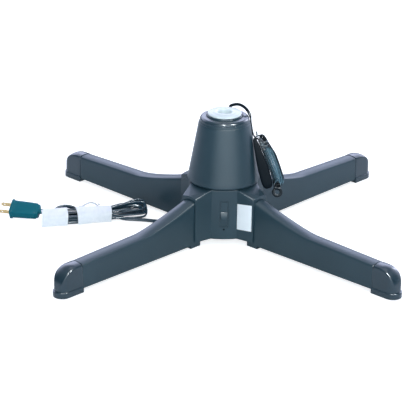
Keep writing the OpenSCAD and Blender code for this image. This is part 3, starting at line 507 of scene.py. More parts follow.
# where it swings out behind the tag it stands on edge
lead_twist *= 1 - 0.9 * smooth_step(-(lead_path[:, :2] - TIP) @ hank_v, 14.5, 17)
mains_lead = piece("mains_cord", flat_lead(lead_path, LEAD_W, LEAD_T, (0, 0, 1), lead_twist), "base",
                   cord_skin, replaces=("mains_lead", "mains_hank"), sharp=60)
print("mains lead", round(line_length(lead_path) * MM, 3), "m")

# %% [markdown]
# The plug is a rounded block that grows from its neck to the flange in front. It is drawn in its own
# frame and then laid down where the lead ends, rolled a little, with both blades pointing away.

# %% Plug
PLUG_REAR, PLUG_TURN, PLUG_ROLL, PLUG_L = np.array([-250.5, 41.5, 12.0]), 166, -28, 40


def at_plug(points):
    """Points of the plug's own frame (along, across, up) in the row frame."""
    r, t = math.radians(PLUG_ROLL), math.radians(PLUG_TURN)
    roll = np.array([[1, 0, 0], [0, math.cos(r), -math.sin(r)], [0, math.sin(r), math.cos(r)]])
    turn = np.array([[math.cos(t), -math.sin(t), 0], [math.sin(t), math.cos(t), 0], [0, 0, 1]])
    return np.asarray(points) @ (turn @ roll).T + PLUG_REAR


def block_ring(x, wide, high, power=4.5, n=36):
    """Rounded rectangle: a superellipse across the axis at distance x."""
    t = np.linspace(0, 2 * np.pi, n, endpoint=False)
    c, s = np.cos(t), np.sin(t)
    return np.column_stack([np.full(n, x), wide / 2 * np.sign(c) * np.abs(c) ** (2 / power),
                            high / 2 * np.sign(s) * np.abs(s) ** (2 / power)])


# distance along the plug, width, height and how square the section is
plug_rings = [block_ring(x, w, h, p) for x, w, h, p in (
    (-11, 5.8, 4.0, 2.2), (-5, 6.6, 4.6, 2.4), (-0.6, 7.6, 5.4, 2.6), (0, 17.2, 11.4, 4),
    (0.5, 18.2, 12.2, 4.2), (3.0, 18.8, 12.6, 4.4), (3.2, 20.0, 13.6, 4.4), (3.8, 20.8, 14.0, 4.4),
    (6, 21.2, 14.3, 4.4), (12, 21.9, 14.7, 4.4), (20, 22.4, 15.0, 4.4), (30, 22.8, 15.2, 4.6),
    (35.9, 23.0, 15.4, 4.8), (36.4, 23.8, 16.0, 4.8), (36.7, 24.9, 16.7, 5), (37.3, 25.4, 17, 5),
    (39.4, 25.4, 17, 5), (39.9, 24.9, 16.6, 5), (40, 24.0, 15.8, 5))]
points, faces = loft(plug_rings)
plug = piece("plug", (at_plug(points), faces), "base", teal, replaces=("plug_body",),
             sharp=30)


# half width of a pin, where its round tip begins, the place and radius of its hole, the spacing of the
# two pins and the rounding of their edges
PIN_HALF, PIN_TIP, HOLE_AT, HOLE_R, PIN_SPACING, PIN_EDGE = 3.17, 13.2, 11.6, 1.6, 12.7, 0.2


def blade_part(side, thick=1.5):
    """One flat pin with a rounded tip: rays from the hole's centre give its outer edge and the hole's."""
    y = side * PIN_SPACING / 2
    centre = np.array([HOLE_AT, 0])
    outer, inner = [], []
    for a in np.linspace(-np.pi, np.pi, 60, endpoint=False):
        d = np.array([math.cos(a), math.sin(a)])
        inner.append(centre + HOLE_R * d)
        to_root = -HOLE_AT / d[0] if d[0] < -1e-9 else math.inf
        to_side = PIN_HALF / abs(d[1]) if abs(d[1]) > 1e-9 else math.inf
        reach = min(to_root, to_side)
        if HOLE_AT + reach * d[0] > PIN_TIP:
            b = (HOLE_AT - PIN_TIP) * d[0]
            reach = -b + math.sqrt(b * b - ((HOLE_AT - PIN_TIP) ** 2 - PIN_HALF ** 2))
        outer.append(centre + reach * d)
    middle, half = np.array([8.0, 0]), thick / 2
    face = [middle + (q - middle) * np.array([0.98, 0.93]) for q in outer]
    rings = [[(PLUG_L + q[0], y + dy, q[1]) for q in loop] for loop, dy in (
        (outer, -half + PIN_EDGE), (outer, half - PIN_EDGE), (face, half), (inner, half),
        (inner, -half), (face, -half), (outer, -half + PIN_EDGE))]
    return loft(rings, caps=(False, False))


points, faces = join(blade_part(-1), blade_part(1))
blades = piece("blades", (at_plug(points), faces), "base", brass, replaces=("plug_blades",),
               sharp=40)
print("plug", PLUG_L, "mm long, pins", PIN_SPACING, "mm apart")

# %% [markdown]
# Two blank paper tags are folded over the hank, and a clear tie holds it.

# %% Tags
def tag(name, start, end, section, sag, narrow=(1, 1), thick=0.35):
    """Sheet over the hank: section is (v, z) across it, start and end are (u at the back, u at the front)
    and narrow gives how much of the section's width and height is left at the start."""
    curve = curve_through([(v, z, 0) for v, z in section], 6)[:, :2]
    t = np.linspace(0, 1, len(curve))
    columns = np.linspace(0, 1, 14)
    rings = []
    for c in columns:
        u = (start[0] + (start[1] - start[0]) * t) * (1 - c) + (end[0] + (end[1] - end[0]) * t) * c
        wave = sag * np.sin(np.pi * c) + 0.3 * np.sin(7 * c + 5 * t)
        kv, kz = (k + (1 - k) * c for k in narrow)
        rings.append([hank_point(a, v * kv, max(z * kz + w * 0.6, 0.25))
                      for a, (v, z), w in zip(u, curve, wave)])
    rings = np.array(rings)
    lower = rings + np.array([0, 0, -thick])
    lower[:, :, 2] = np.maximum(lower[:, :, 2], 0.02)
    skin = [np.vstack([a, b[::-1]]) for a, b in zip(rings, lower)]
    return piece(name, loft(skin), "base", paper, sharp=50)


tag_plug = tag("tag_plug_end", (99.5, 104.4), (135.8, 139.9),
               [(-17.4, 9.0), (-15.5, 13.0), (-8, 14.6), (2, 14.8), (11, 14.0), (15.6, 11.5), (17.2, 6.0),
                (18.2, 0.6)], 0.5)
tag_middle = tag("tag_middle", (38.5, 43.3), (88.9, 89.5),
                 [(-15.5, 8.0), (-14.2, 13.6), (-7, 15.6), (2, 15.4), (10, 13.6), (13.9, 10.0), (16.0, 5.0),
                  (17.6, 0.6)], 1.2, (0.86, 0.90))

tie_route = [hank_point(*q) for q in (
    (84, -11, 14.6), (79, -16.5, 12.5), (72, -20, 14.6), (66, -20, 16.0), (60, -20, 14.2),
    (56.5, -18, 11.5), (56, -14.5, 15.6), (55.6, -8, 17.0))]
tie_path = even(curve_through(tie_route, 8), 1.2)
tie = piece("clear_tie", flat_lead(tie_path, 2.6, 0.5, (0, 0, 1), np.zeros(len(tie_path)), 8), "base",
            clear)

relief_profile = [(6.2, 0), (6.2, 2.4), (5.6, 2.4), (5.6, 3.0), (5.3, 3.1)]
for k in range(6):
    x = 4.4 + k * 3.5
    r = 5.2 - 0.33 * k
    relief_profile += [(r, x), (r, x + 1.9), (r - 0.8, x + 2.1), (r - 0.9, x + 3.2)]
relief_profile += [(3.1, 25.4), (2.5, 26.4), (0.4, 26.5)]
points, faces = revolve(relief_profile, 32)
points = np.column_stack([-43.6 - points[:, 2], points[:, 0], points[:, 1] + 18])
piece("lead_relief", (points, faces), "base", cord_skin, replaces=("strain_relief",), sharp=35)

# %% [markdown]
# ### Cord for the lights
#
# This cord leaves the top of the turret, bends over its rim and runs down to a second hank, which turns
# with the tree. The hank lies in a plane that leans forwards, so its routes are drawn in that plane.

# %% Light cord
LIGHT_W, LIGHT_T = 4.0, 2.0
LIGHT_ROUTE = [(8, 26.4, 171), (8.6, 26.1, 172.6), (10.6, 25.5, 173.9), (13.8, 24.2, 175.2),
               (18, 21.7, 176.5), (22.6, 18.1, 176.5), (26.2, 14.5, 175.3), (29.1, 11.1, 173.7),
               (31.6, 8, 171.2), (33.6, 5.4, 167.9), (34.8, 3, 163.6), (35.3, 0.8, 159.2),
               (36.6, -0.6, 151.4), (37.7, -1.1, 146.1), (39.4, -1.4, 140.6), (43, -1.8, 137),
               (48.5, -1.5, 134)]
HANG_TOP, HANG_FORWARD = np.array([46.0, -4.0, 140.0]), 13.5


def hang(x, s, d=0.0):
    """Point of the hanging plane: x to the right, s along the lean (down is negative), d to the front."""
    a = math.radians(-HANG_FORWARD)
    y, z = -d, s
    return HANG_TOP + np.array([x, y * math.cos(a) - z * math.sin(a), y * math.sin(a) + z * math.cos(a)])


# the hank from its top down: place of its middle, how far down, and half its width
SPINE = np.array([(4.6, -2.4, 3.9), (7.4, -9.0, 5.7), (10.6, -15.5, 6.7), (14.6, -23.0, 7.5),
                  (17.8, -31.0, 7.7), (23.2, -45.0, 7.4), (27.0, -57.0, 7.0)])
# each loop: its share of the half width, and how deep it lies at the top and at the bottom
LOOPS = [(1.0, -1.6, -2.4), (0.66, -3.4, -2.4), (0.33, -5.2, -2.6), (0.05, -4.4, -2.2), (0.9, -7.4, -7.2),
         (0.5, -8.2, -7.4)]
# the small ring: its middle, its radius, and the loop that it belongs to
RING, RING_R, RING_LOOP = (25.2, -73.6, 8.0), 5.2, 3


def strand(i, side, loop):
    """Point of one side of a loop at the i-th place of the spine; its depth changes on the way down."""
    share, high, low = loop
    x, s, half = SPINE[i]
    return hang(x + side * share * half, s, high + (low - high) * smooth_step(i, 0, 4))


def small_ring():
    """One loop hangs out below the others as a small ring that is a little more than a full turn."""
    turn = np.radians(np.linspace(80, 460, 10))
    points = [hang(29.6, -62.5, 3.0), hang(29.2, -66.2, 5.2)]
    points += [hang(RING[0] + RING_R * math.cos(a), RING[1] + RING_R * math.sin(a), RING[2] + q)
               for a, q in zip(turn, np.linspace(-1.6, 2.0, 10))]
    return points + [hang(21.0, -66.0, 9.0), hang(21.8, -61.8, 7.4), hang(24.6, -58.5, 3.0)]


def light_route():
    """Down one side of a loop, round its foot, up the other side and over to the next loop."""
    points = [np.array(p, float) for p in LIGHT_ROUTE[:-1]] + [hang(3.2, -5.5, -2.0)]
    top_x, top_s, _ = SPINE[0]
    foot_x, foot_s, foot_half = SPINE[-1]
    for k, loop in enumerate(LOOPS):
        share, high, low = loop
        points += [strand(i, -1, loop) for i in range(1, len(SPINE))]
        foot = share * foot_half
        if k == RING_LOOP:
            points += small_ring()
        else:
            points += [hang(foot_x + foot * math.cos(a), foot_s - 2 + (foot + 1.5) * math.sin(a), low)
                       for a in np.radians([-140, -90, -40])]
        points += [strand(i, 1, loop) for i in range(len(SPINE) - 1, 0, -1)]
        if k < len(LOOPS) - 1:
            next_high = LOOPS[k + 1][1]
            slim = 3.4 * max(share, 0.5)
            points += [hang(top_x + slim * math.cos(a), top_s + 1 + slim * math.sin(a),
                            high + (next_high - high) * q)
                       for a, q in zip(np.radians([30, 90, 150]), (0.2, 0.5, 0.8))]
    points += [hang(6.4, -7, -5.0), hang(3.0, 0.4, -3.0), hang(-1.5, 1.6, 1.5), hang(-4.4, -0.6, 4.6),
               hang(-4.8, -4.5, 5.4)]
    return points


LIGHT_STEP = 1.9
light_path = even(curve_through(light_route(), 10), LIGHT_STEP)
light_steps = np.arange(len(light_path))
# the cord lies flat as it goes over the rim, and stands on edge in the hank
edge_on = smooth_step(light_steps * LIGHT_STEP, 66, 84)[:, None]
light_lay = (1 - edge_on) * np.array([0.0, 1.0, 0.0]) + edge_on * (hang(0, 0, 0) - hang(0, 0, 1))
# its first bend shows its broad side, and it turns on edge where it meets the cone
broad = np.cross(np.gradient(light_path, axis=0), ahead)
broad /= np.linalg.norm(broad, axis=1)[:, None]
on_bend = 1 - smooth_step(light_steps * LIGHT_STEP, 34, 46)[:, None]
light_lay = light_lay * (1 - on_bend) + broad * np.sign(broad[:, 1:2] + 1e-9) * on_bend
# the small ring below shows more of its broad side as well
from_ring = light_path - hang(*RING)
ring_far = np.linalg.norm(from_ring, axis=1)[:, None]
light_lay = light_lay + 3.0 * (1 - smooth_step(ring_far, 6, 9)) * from_ring / ring_far
light_twist = 0.25 * np.sin(light_steps * 0.07)
light_cord = piece("lights_cord", flat_lead(light_path, LIGHT_W, LIGHT_T, light_lay, light_twist),
                   "turret", lights_cord_painted_light_skin, replaces=("light_cord", "light_hank"), sharp=60)
print("light cord", round(line_length(light_path) * MM, 3), "m")

# %% [markdown]
# The tap hangs at the light cord's end. It is a socket block that narrows to a neck. Its near-black colour
# and its width stand partly for the shade beside the hank: painted shade. A wire tie holds the hank: it winds
# round the top, runs along it and ends in a twist with a spike that stands up.

# %% Tap, wire tie and cord boot
TAP_AT, TAP_ANGLE, NECK_L = np.array([4.8, -38.3]), -73.5, 38


def tap_ring(s, wide, deep, d):
    """Ring of the tap across its own axis: rounded rectangle in the hanging plane's frame."""
    a = math.radians(TAP_ANGLE)
    along, across = np.array([math.cos(a), math.sin(a)]), np.array([-math.sin(a), math.cos(a)])
    return [hang(*(TAP_AT + along * s + across * q[1]), d + q[2]) for q in block_ring(0, wide, deep, 4, 32)]


# the tap's width and taper follow the dark wedge beside the hank, shaded strands included: partly painted
# shade
# distance along the tap, its width and depth there, and how far in front of the hanging plane
tap_rings = [tap_ring(*row) for row in (
    (-NECK_L - 0.8, 1.6, 1.2, 4.4), (-NECK_L, 3.4, 2.8, 4.4), (-36, 5.2, 4.0, 4.6), (-28, 8.0, 5.8, 5.0),
    (-18, 10.0, 8.2, 5.4), (-8, 12.2, 9.8, 5.5), (-1, 13.6, 10.5, 5.5), (2, 14.3, 10.8, 5.5),
    (6, 14.8, 10.9, 5.5), (18, 15.0, 10.9, 5.5), (24, 14.4, 10.8, 5.5), (28, 12.6, 10.0, 5.5),
    (30.4, 9.6, 8.4, 5.5), (31.5, 6.4, 6.2, 5.5), (31.8, 2.4, 3.0, 5.5))]
tap = piece("lights_socket", loft(tap_rings), "turret", socket_and_painted_shade, replaces=("light_tap",),
            sharp=50)

# wire tie: turns round the top of the hank, two straight runs, a twist and the spike
wrap_route = []
for t in np.linspace(0, 3.2, 40):
    a = 2 * np.pi * t
    wrap_route.append(hang(6.4 + 5.6 * math.cos(a) + 0.8 * t, -6.5 - 2.4 * t + 1.2 * math.cos(a),
                           -1.5 + 8.2 * math.sin(a)))
wrap_route += [hang(6.8, -17.5, 4.0), hang(5.0, -13.0, 4.4), hang(2.6, -6.5, 4.4), hang(0.6, -1.0, 4.4),
               hang(3.4, -4.0, 2.4), hang(5.4, -10.0, 2.6), hang(8.4, -15.5, 3.4)]
for t in np.linspace(0, 1, 61):
    a = 2 * np.pi * 7.5 * t
    wrap_route.append(hang(6.6 - 5.6 * t + 2.6 * math.cos(a), -17 + 15 * t, 4.4 + 2.6 * math.sin(a)))
wrap_route += [hang(-1.2, 0.4, 6.4), hang(-2.8, 2.4, 6.0), hang(-3.6, 7.6, 5.0)]
wrap_path = even(curve_through(wrap_route, 5), 1.2)
wrap_twist = 0.6 * np.sin(np.arange(len(wrap_path)) * 0.25)
wrap = piece("wire_tie", flat_lead(wrap_path, 2.4, 0.8, (0, 0, 1), wrap_twist, 8), "turret",
             tie_skin, replaces=("twist_tie",))

bush_profile = [(0.5, 162.4), (2.9, 162.4), (2.9, 168.2), (3.5, 168.4), (3.6, 169.0), (3.0, 169.8),
                (2.5, 170.8), (1.9, 171.2), (0.3, 171.2)]
piece("cord_boot", revolve(bush_profile, 32, (8, 26.4)), "turret", rubber,
      replaces=("cord_bush",))

# %% [markdown]
# ## Legs and toe caps
#
# A leg is a channel: an outer skin, an inner skin and the edge between them. Its top follows the same
# curve as the CAD leg. The upper edges are rounder next to the housing than at the toe.

# %% Legs
LEGS = {"front_right": 315, "front_left": 225, "rear_left": 135, "rear_right": 45}
MOUTH_R, CAP_R, REACH, LEG_W = 66.7, 270.0, 308.0, 22.0
# a leg's foot below the housing, the start of its tenon, and the middle height of its end face
FOOT_IN, FOOT_OUT, FOOT_WALL, FOOT_TOP, TENON_R, END_MIDDLE = 55.2, 73.2, 2.4, 9.4, 46.8, 20


def leg_top(r):
    """Height of the leg's top: a gentle slope, and a rise towards the housing."""
    r = np.maximum(r, MOUTH_R)
    slope = 0.028
    root = 39.5 + slope * (CAP_R - MOUTH_R)
    t = np.maximum(0, 160 - r) / (160 - MOUTH_R)
    return 39.5 + slope * (CAP_R - r) + (66 - root) * t ** 1.4


def leg_low(r):
    """Height of the leg's lower edge, which rises a little from the housing to the toe."""
    return 4 + 1.6 * np.maximum(0, r - MOUTH_R) / (CAP_R - MOUTH_R)


def leg_section(r, low, inset, top=None):
    """(across, up) points over the top of the leg, from one lower edge to the other."""
    half = LEG_W / 2 - inset
    high = (leg_top(r) if top is None else top) - inset
    crown = 1.2
    edge = 2.8 + 2.2 * (1 - smooth_step(r, MOUTH_R, 120)) - inset
    edge = max(edge, 0.8)
    draft = 0.5
    side = [(half, low), (half - draft * 0.3, low + (high - low) * 0.3),
            (half - draft * 0.7, low + (high - low) * 0.7)]
    round_edge = arc((half - draft - edge, high - crown - edge), edge, 4, 84, 7)
    inner = round_edge[-1][0]
    over = [(inner * s, high - crown * s * s * 0.9) for s in (0.8, 0.55, 0.28)]
    half_ring = side + round_edge + over
    return half_ring + [(0, high)] + [(-a, z) for a, z in reversed(half_ring)]


def channel(stations, wall):
    """Leg shell over stations of (distance, lower edge)."""
    rings = []
    for r, low in stations:
        outer = leg_section(r, low, 0)
        inner = leg_section(r, low, wall)
        rings.append([(r, a, z) for a, z in outer] + [(r, a, z) for a, z in reversed(inner)])
    return loft(rings)


def plate(r, thick, low, inset):
    """Wall or rib that closes the leg's section."""
    return loft([[(x, a, z) for a, z in leg_section(r, low, inset)] for x in (r, r + thick)])


def box_part(x0, x1, y0, y1, z0, z1, bevel=0.0):
    """Box between two corners; a bevel narrows its bottom and its top face."""
    b = bevel
    low = [(x0 + b, y0 + b, z0), (x1 - b, y0 + b, z0), (x1 - b, y1 - b, z0), (x0 + b, y1 - b, z0)]
    high = [(x, y, z1) for x, y, _ in low]
    if not b:
        return loft([low, high])
    wide = [(x0, y0), (x1, y0), (x1, y1), (x0, y1)]
    return loft([low, [(x, y, z0 + b) for x, y in wide], [(x, y, z1 - b) for x, y in wide], high])


def leg_part():
    """A leg along +X: shell, end face, tenon for the socket, ribs, foot and the spigot for the toe cap."""
    rs = np.concatenate([np.linspace(MOUTH_R, 130, 22), np.linspace(134, CAP_R - 0.6, 26)])
    body = channel([(r, leg_low(r)) for r in rs], 2.4)
    end = loft([[(r, a * s, END_MIDDLE + (z - END_MIDDLE) * s)
                 for a, z in leg_section(CAP_R, leg_low(CAP_R), 0)]
                for r, s in ((CAP_R - 2.6, 0.97), (CAP_R - 0.6, 1.0), (CAP_R - 0.1, 0.975))])
    tenon = channel([(r, 8.4) for r in (TENON_R, 47.4, 60, MOUTH_R)], 2.4)
    ribs = [plate(MOUTH_R + (CAP_R - MOUTH_R) * i / 7, 2.2, 7.2, 2.3) for i in range(1, 7)]
    half = LEG_W / 2
    foot = [box_part(*walls, 0, FOOT_TOP, 0.3) for walls in (
        (FOOT_IN, FOOT_OUT, -half, -half + FOOT_WALL), (FOOT_IN, FOOT_OUT, half - FOOT_WALL, half),
        (71, FOOT_OUT, -half + 0.4, half - 0.4), (FOOT_IN, 57.4, -half + 0.4, half - 0.4))]
    spigot = box_part(CAP_R - 0.4, CAP_R + 12.8, -7.6, 7.6, 10.4, 34.6, 0.5)
    back = plate(TENON_R, 2.4, 8.4, 0.05)
    return join(body, end, tenon, back, spigot, *ribs, *foot)


leg_shape = leg_part()
for name, angle in LEGS.items():
    piece("leg_shell_" + name, turned(leg_shape, angle), "leg_" + name, slate,
          replaces=("leg_" + name,), sharp=32)
print("legs", len(LEGS))

# %% [markdown]
# The toe cap continues the leg's section, and its top falls along a quarter of a rounded ellipse. Its
# plan closes in a rounded end. A narrow groove parts it from the leg, and the sole stands out below as a
# flat flange with a softened edge.

# %% Toe caps
# how far the cap's nose lies behind the sole's tip, and how far the sole stands out beyond the leg
NOSE_BACK, SOLE_OUT = 2.4, 1.4


def cap_ring(r, scale_w, top, low):
    """Section of the cap: the leg's section made narrower and lower towards the tip."""
    ring = []
    base = leg_section(CAP_R, low, 0)
    full = leg_top(CAP_R)
    for a, z in base:
        t = (z - low) / (full - low)
        ring.append((r, a * scale_w, low + t * (top - low)))
    return ring


def cap_part():
    """A toe cap along +X: the body, whose plan and top are superellipses, and the flange of its sole."""
    nose, low = REACH - NOSE_BACK, 6.2
    # distance along the leg, and how deep the groove next to the leg still is there
    stations = [(CAP_R + 0.15, 0.10), (CAP_R + 0.8, 0.05), (CAP_R + 1.4, 0.0)]
    curve = np.sin(np.radians(np.linspace(4, 90, 34)))
    stations += [(x, 0.0) for x in CAP_R + 1.5 + (nose - CAP_R - 1.55) * curve]
    rings = []
    for x, groove in stations:
        half = LEG_W / 2
        t = max(0.0, x - (nose - half)) / half
        plan = max(1 - t ** 2.3, 0) ** (1 / 2.3)
        e = max(0.0, (x - CAP_R - 9) / (nose - CAP_R - 9))
        top = low + 0.6 + (leg_top(CAP_R) + 0.25 - low - 0.6) * max(1 - e ** 2.5, 0) ** (1 / 2.1)
        width = max(plan, 0.02) * (1.012 - groove * 0.2)
        rings.append(cap_ring(x, width, low + (top - low) * (1 - groove), low))
    body = loft(rings)
    flange = []
    for z, grow in ((0.5, -0.5), (0.7, -0.1), (1.1, 0.0), (7.0, 0.0), (7.8, -0.12), (8.4, -0.5),
                    (8.6, -1.1), (8.6, -3.2)):
        half = LEG_W / 2 + SOLE_OUT + grow
        tip = REACH - LEG_W / 2 - SOLE_OUT
        round_end = [(tip + half * math.cos(a), half * math.sin(a))
                     for a in np.radians(np.linspace(-90, 90, 29))]
        outline = [(CAP_R + 0.15, -half)] + round_end + [(CAP_R + 0.15, half)]
        flange.append([(x, y, z) for x, y in outline])
    return join(body, loft(flange))


cap_shape = cap_part()
for name, angle in LEGS.items():
    piece("toe_cap_" + name, turned(cap_shape, angle), "leg_" + name, gloss,
          replaces=("toe_" + name,), sharp=40)

# %% [markdown]
# ## Housing
#
# The skin of the housing lies a hair outside its CAD solid, which stays for the inside. Each socket is
# a loft from two corner posts of the housing to its mouth. It gets narrower and lower, and the crease
# along each side of its roof gets rounder. Four gently bulged panels close the sides between the sockets.

# %% Housing
BASE_LOW, BASE_TOP, FACE_HALF = 8.0, 78.0, 17.2
FRONT, SIDE, BULGE, SKIN = 42.5, 44.0, 2.0, 0.25
MOUTH_HALF, MOUTH_H, MOUTH_ROUND, CREASE, RIM = 13.0, 71.1, 3.0, 1.1, 0.8


def socket_half(t, across, inset=0.0):
    """Half a section of a socket, from its lower edge to the middle of its roof; t is 0 at the posts."""
    half = across + (MOUTH_HALF - across) * t + SKIN - inset
    high = BASE_TOP + (MOUTH_H - BASE_TOP) * t + SKIN - inset
    crown, edge = 1.2 * t, CREASE + (MOUTH_ROUND - CREASE) * t
    shoulder = high - crown - edge
    corner = arc((half - 0.5 * t - edge, shoulder), edge, 2, 88, 7)
    over = [(corner[-1][0] * q, high - crown * q * q) for q in (0.75, 0.5, 0.25)]
    return [(half, BASE_LOW + 0.4), (half, 55), (half - 0.3 * t, shoulder - 3)] + corner + over + [(0, high)]


def opening(x, grow):
    """Edge of a mouth round the leg, wider than the leg by grow."""
    k = 1 + 2 * grow / LEG_W
    return [(x, a * k, z + grow * smooth_step(z, 40, 60)) for a, z in leg_section(MOUTH_R, BASE_LOW + 0.4, 0)]


def socket_part(first, second):
    """Skin of one socket along +X, between two corner posts given as (along, across)."""
    face = MOUTH_R + SKIN
    stations = [(t, None, 0) for t in np.linspace(0, 1, 13)]
    stations += [(1, face - RIM + RIM * math.sin(a), RIM * (1 - math.cos(a)))
                 for a in np.radians([0, 22, 45, 68, 90])]
    rings = []
    for t, place, inset in stations:
        sides = []
        for sign, (along, across) in ((1, first), (-1, second)):
            x = place or along + (MOUTH_R - 3 - along) * t
            sides.append([(x, sign * a, z) for a, z in socket_half(t, abs(across), inset)])
        middle = np.mean([sides[0][-1], sides[1][-1]], axis=0)
        rings.append(sides[0][:-1] + [tuple(middle)] + sides[1][-2::-1])
    rings += [opening(face, 0.8), opening(face - 0.2, 0.42), opening(face - 0.6, 0.3), opening(48, 0.3)]
    return loft(rings, closed=False)


def diagonal_frame(x, y):
    """(along, across) of a plan point in the frame of the diagonal it belongs to."""
    return (abs(x) + abs(y)) / math.sqrt(2), (abs(y) - abs(x)) / math.sqrt(2)


front_post, side_post = diagonal_frame(FACE_HALF, FRONT), diagonal_frame(SIDE, FACE_HALF)
sockets = []
for angle in LEGS.values():
    # seen along the leg, its left-hand post belongs to the next face anticlockwise
    first, second = (side_post, front_post) if angle in (315, 135) else (front_post, side_post)
    sockets.append(turned(socket_part(first, second), angle))


# recesses of the switch: half width, lower and upper edge, depth; the last one is its open window
RECESSES = [(6.4, 24.6, 63.4, 1.2), (4.4, 48.8, 61.8, 0.5), (4.55, 26.15, 46.85, 1.9)]


def in_window(x, z):
    """True inside the window of the switch, which stays open."""
    half, low, high, _ = RECESSES[-1]
    return abs(x) < half and low < z < high


def panel(distance, half, features=False):
    """Bulged panel that faces -Y, with the switch recess pressed into the front one."""
    # close to each edge of the recesses there is a column or a row on either side of it
    xs = [*np.linspace(-half, half, 23), -6.5, -6.3, 6.3, 6.5, -4.6, -4.5, 4.5, 4.6, -4.3, 4.3]
    zs = [BASE_LOW, BASE_LOW + 0.4, *np.linspace(12, 74, 19), 76.6, 77.2, 77.6, 77.85, 78.0,
          24.5, 24.7, 63.3, 63.5, 48.7, 48.9, 61.7, 61.9, 26.1, 26.2, 46.8, 46.9]
    xs, zs = (sorted(set(np.round(values, 3))) for values in (xs, zs))
    rings = []
    for z in zs:
        ring = []
        for x in xs:
            y = -(distance + SKIN + BULGE * (1 - (x / half) ** 2))
            if z > 77:
                y += 0.8 * (1 - math.sqrt(max(0, 1 - ((z - 77) / 1.0) ** 2)))
            if z < BASE_LOW + 0.2:
                y += 0.35
            if features:
                inside = [deep for wide, low, high, deep in RECESSES if abs(x) < wide and low < z < high]
                y += inside[-1] if inside else 0.0
            ring.append((x, y, z))
        rings.append(ring)
    points, faces = loft(rings, closed=False)
    if features:
        faces = [f for f in faces if not all(in_window(points[i][0], points[i][2]) for i in f)]
    return points, faces


panels = [turned(panel(distance, FACE_HALF, angle == 0), angle)
          for distance, angle in ((FRONT, 0), (SIDE, 90), (FRONT, 180), (SIDE, 270))]


def deck_part():
    """Top of the housing round the turret's foot."""
    plan = []
    for side_index in range(4):
        a = math.radians(90 * side_index)
        distance = (FRONT if side_index % 2 == 0 else SIDE) + SKIN - 0.8
        for x in np.linspace(-FACE_HALF, FACE_HALF, 9):
            y = -(distance + BULGE * (1 - (x / FACE_HALF) ** 2))
            plan.append((x * math.cos(a) - y * math.sin(a), x * math.sin(a) + y * math.cos(a)))
    plan = np.array(plan)
    rings = [[(*q, 78.0) for q in plan], [(*(q / np.linalg.norm(q) * 43.3), 78.0) for q in plan]]
    return loft(rings, caps=(False, False))


piece("housing_skin", join(*sockets, *panels, deck_part()), "base", slate, sharp=34)

# the pin hole below the switch: a near-black disc laid on the panel, painted shade standing for the dark
# inside of the hole
points, faces = revolve([(0.05, 0.0), (1.15, 0.0), (1.3, 0.15), (1.35, 0.3)], 24)
piece("pin_hole_painted_shade", (np.column_stack([points[:, 0], -44.86 + points[:, 2] * 0.3, points[:, 1] + 22.4]),
                   faces), "base", socket_and_painted_shade)


def knob_part():
    """Knob with a sloping finger rest, the block behind it and the skirt that closes the window."""
    front = [(-41.6, 34.5), (-44.6, 34.5), (-45.05, 34.8), (-45.25, 35.6), (-45.3, 38.0), (-45.2, 40.2),
             (-44.8, 42.2), (-44.1, 44.3), (-43.5, 45.8), (-43.1, 46.35), (-42.6, 46.5), (-41.6, 46.5)]
    middle = np.array([-42.6, 40.5])
    rings = []
    for x, keep in ((-4.2, 0.93), (-4.05, 0.985), (-3.8, 1.0), (3.8, 1.0), (4.05, 0.985), (4.2, 0.93)):
        rings.append([(x, *(middle + (np.array(q) - middle) * keep)) for q in front])
    return join(loft(rings), box_part(-2.9, 2.9, -41.7, -37.8, 37.5, 43.5),
                box_part(-5.1, 5.1, -42.2, -41.5, 25.3, 55.7))


piece("slider_knob", knob_part(), "switch_slider", slate, replaces=("switch_knob",), sharp=30)


def sticker():
    """Blank label on the side of the right socket; it sits a few degrees out of level."""
    post, mouth = np.array([FACE_HALF, -FRONT]), np.array([38.0, -56.4])
    along = (mouth - post) / np.linalg.norm(mouth - post)
    out = np.array([along[1], -along[0]])
    edge = [(0.6, 22.6), (0.9, 22.3), (22.7, 23.7), (23.0, 24.0), (23.0, 60.8), (22.7, 61.1), (0.9, 58.7),
            (0.6, 58.4)]
    sheets = []
    for lift, grow in ((SKIN + 0.02, 0.0), (SKIN + 0.16, 0.0), (SKIN + 0.2, -0.1)):
        sheets.append([(*(post + along * (a - grow * np.sign(12 - a)) + out * lift), z) for a, z in edge])
    return loft(sheets)


piece("label", sticker(), "base", label_paper, sharp=30)
print("sockets", len(sockets), "panels", len(panels))

# %% [markdown]
# ## Turret and adapters
#
# These are surfaces of revolution. The small radii matter most here: they catch the light along the
# lower edge of the cone, at its shoulder and on the rims of the three sleeves.

# %% Turret
cone = [(44.2, 80.2), (45.4, 79.6), (46.6, 79.4)] + arc((45.8, 82.0), 2.6, -62, 8, 7) + \
    [(48.4 - 13.8 * (z - 81) / 78.2, z) for z in (88, 100, 112, 124, 136, 148, 156, 159.2)] + \
    [(34.5, 159.55), (34.35, 159.85), (34.1, 160.0), (32.9, 160.0), (32.7, 160.3), (33.05, 162.4),
     (33.2, 162.8), (33.0, 163.1), (31.2, 163.2)]
piece("turret_skin", revolve([(r + 0.1, z) for r, z in cone], 160), "turret", slate, sharp=30)

shoulder = [(30.6, 163.1), (32.9, 163.1), (32.95, 163.4), (33.0, 163.9)] + \
    arc((28.8, 163.9), 4.2, 6, 84, 10) + \
    [(27.2, 168.1), (26.4, 168.2), (25.6, 168.55), (25.0, 168.6), (24.5, 168.4), (24.3, 167.9), (24.2, 165)]
piece("shoulder_skin", revolve(shoulder, 160), "turret", gloss, replaces=("turret_cap",),
      sharp=30)

collar = [(18.3, 170.5), (23.0, 170.6), (23.6, 170.4), (23.95, 169.9), (24.0, 169.2), (24.0, 164.8)]
piece("collar_skin", revolve(collar, 128), "turret", gloss, sharp=40)


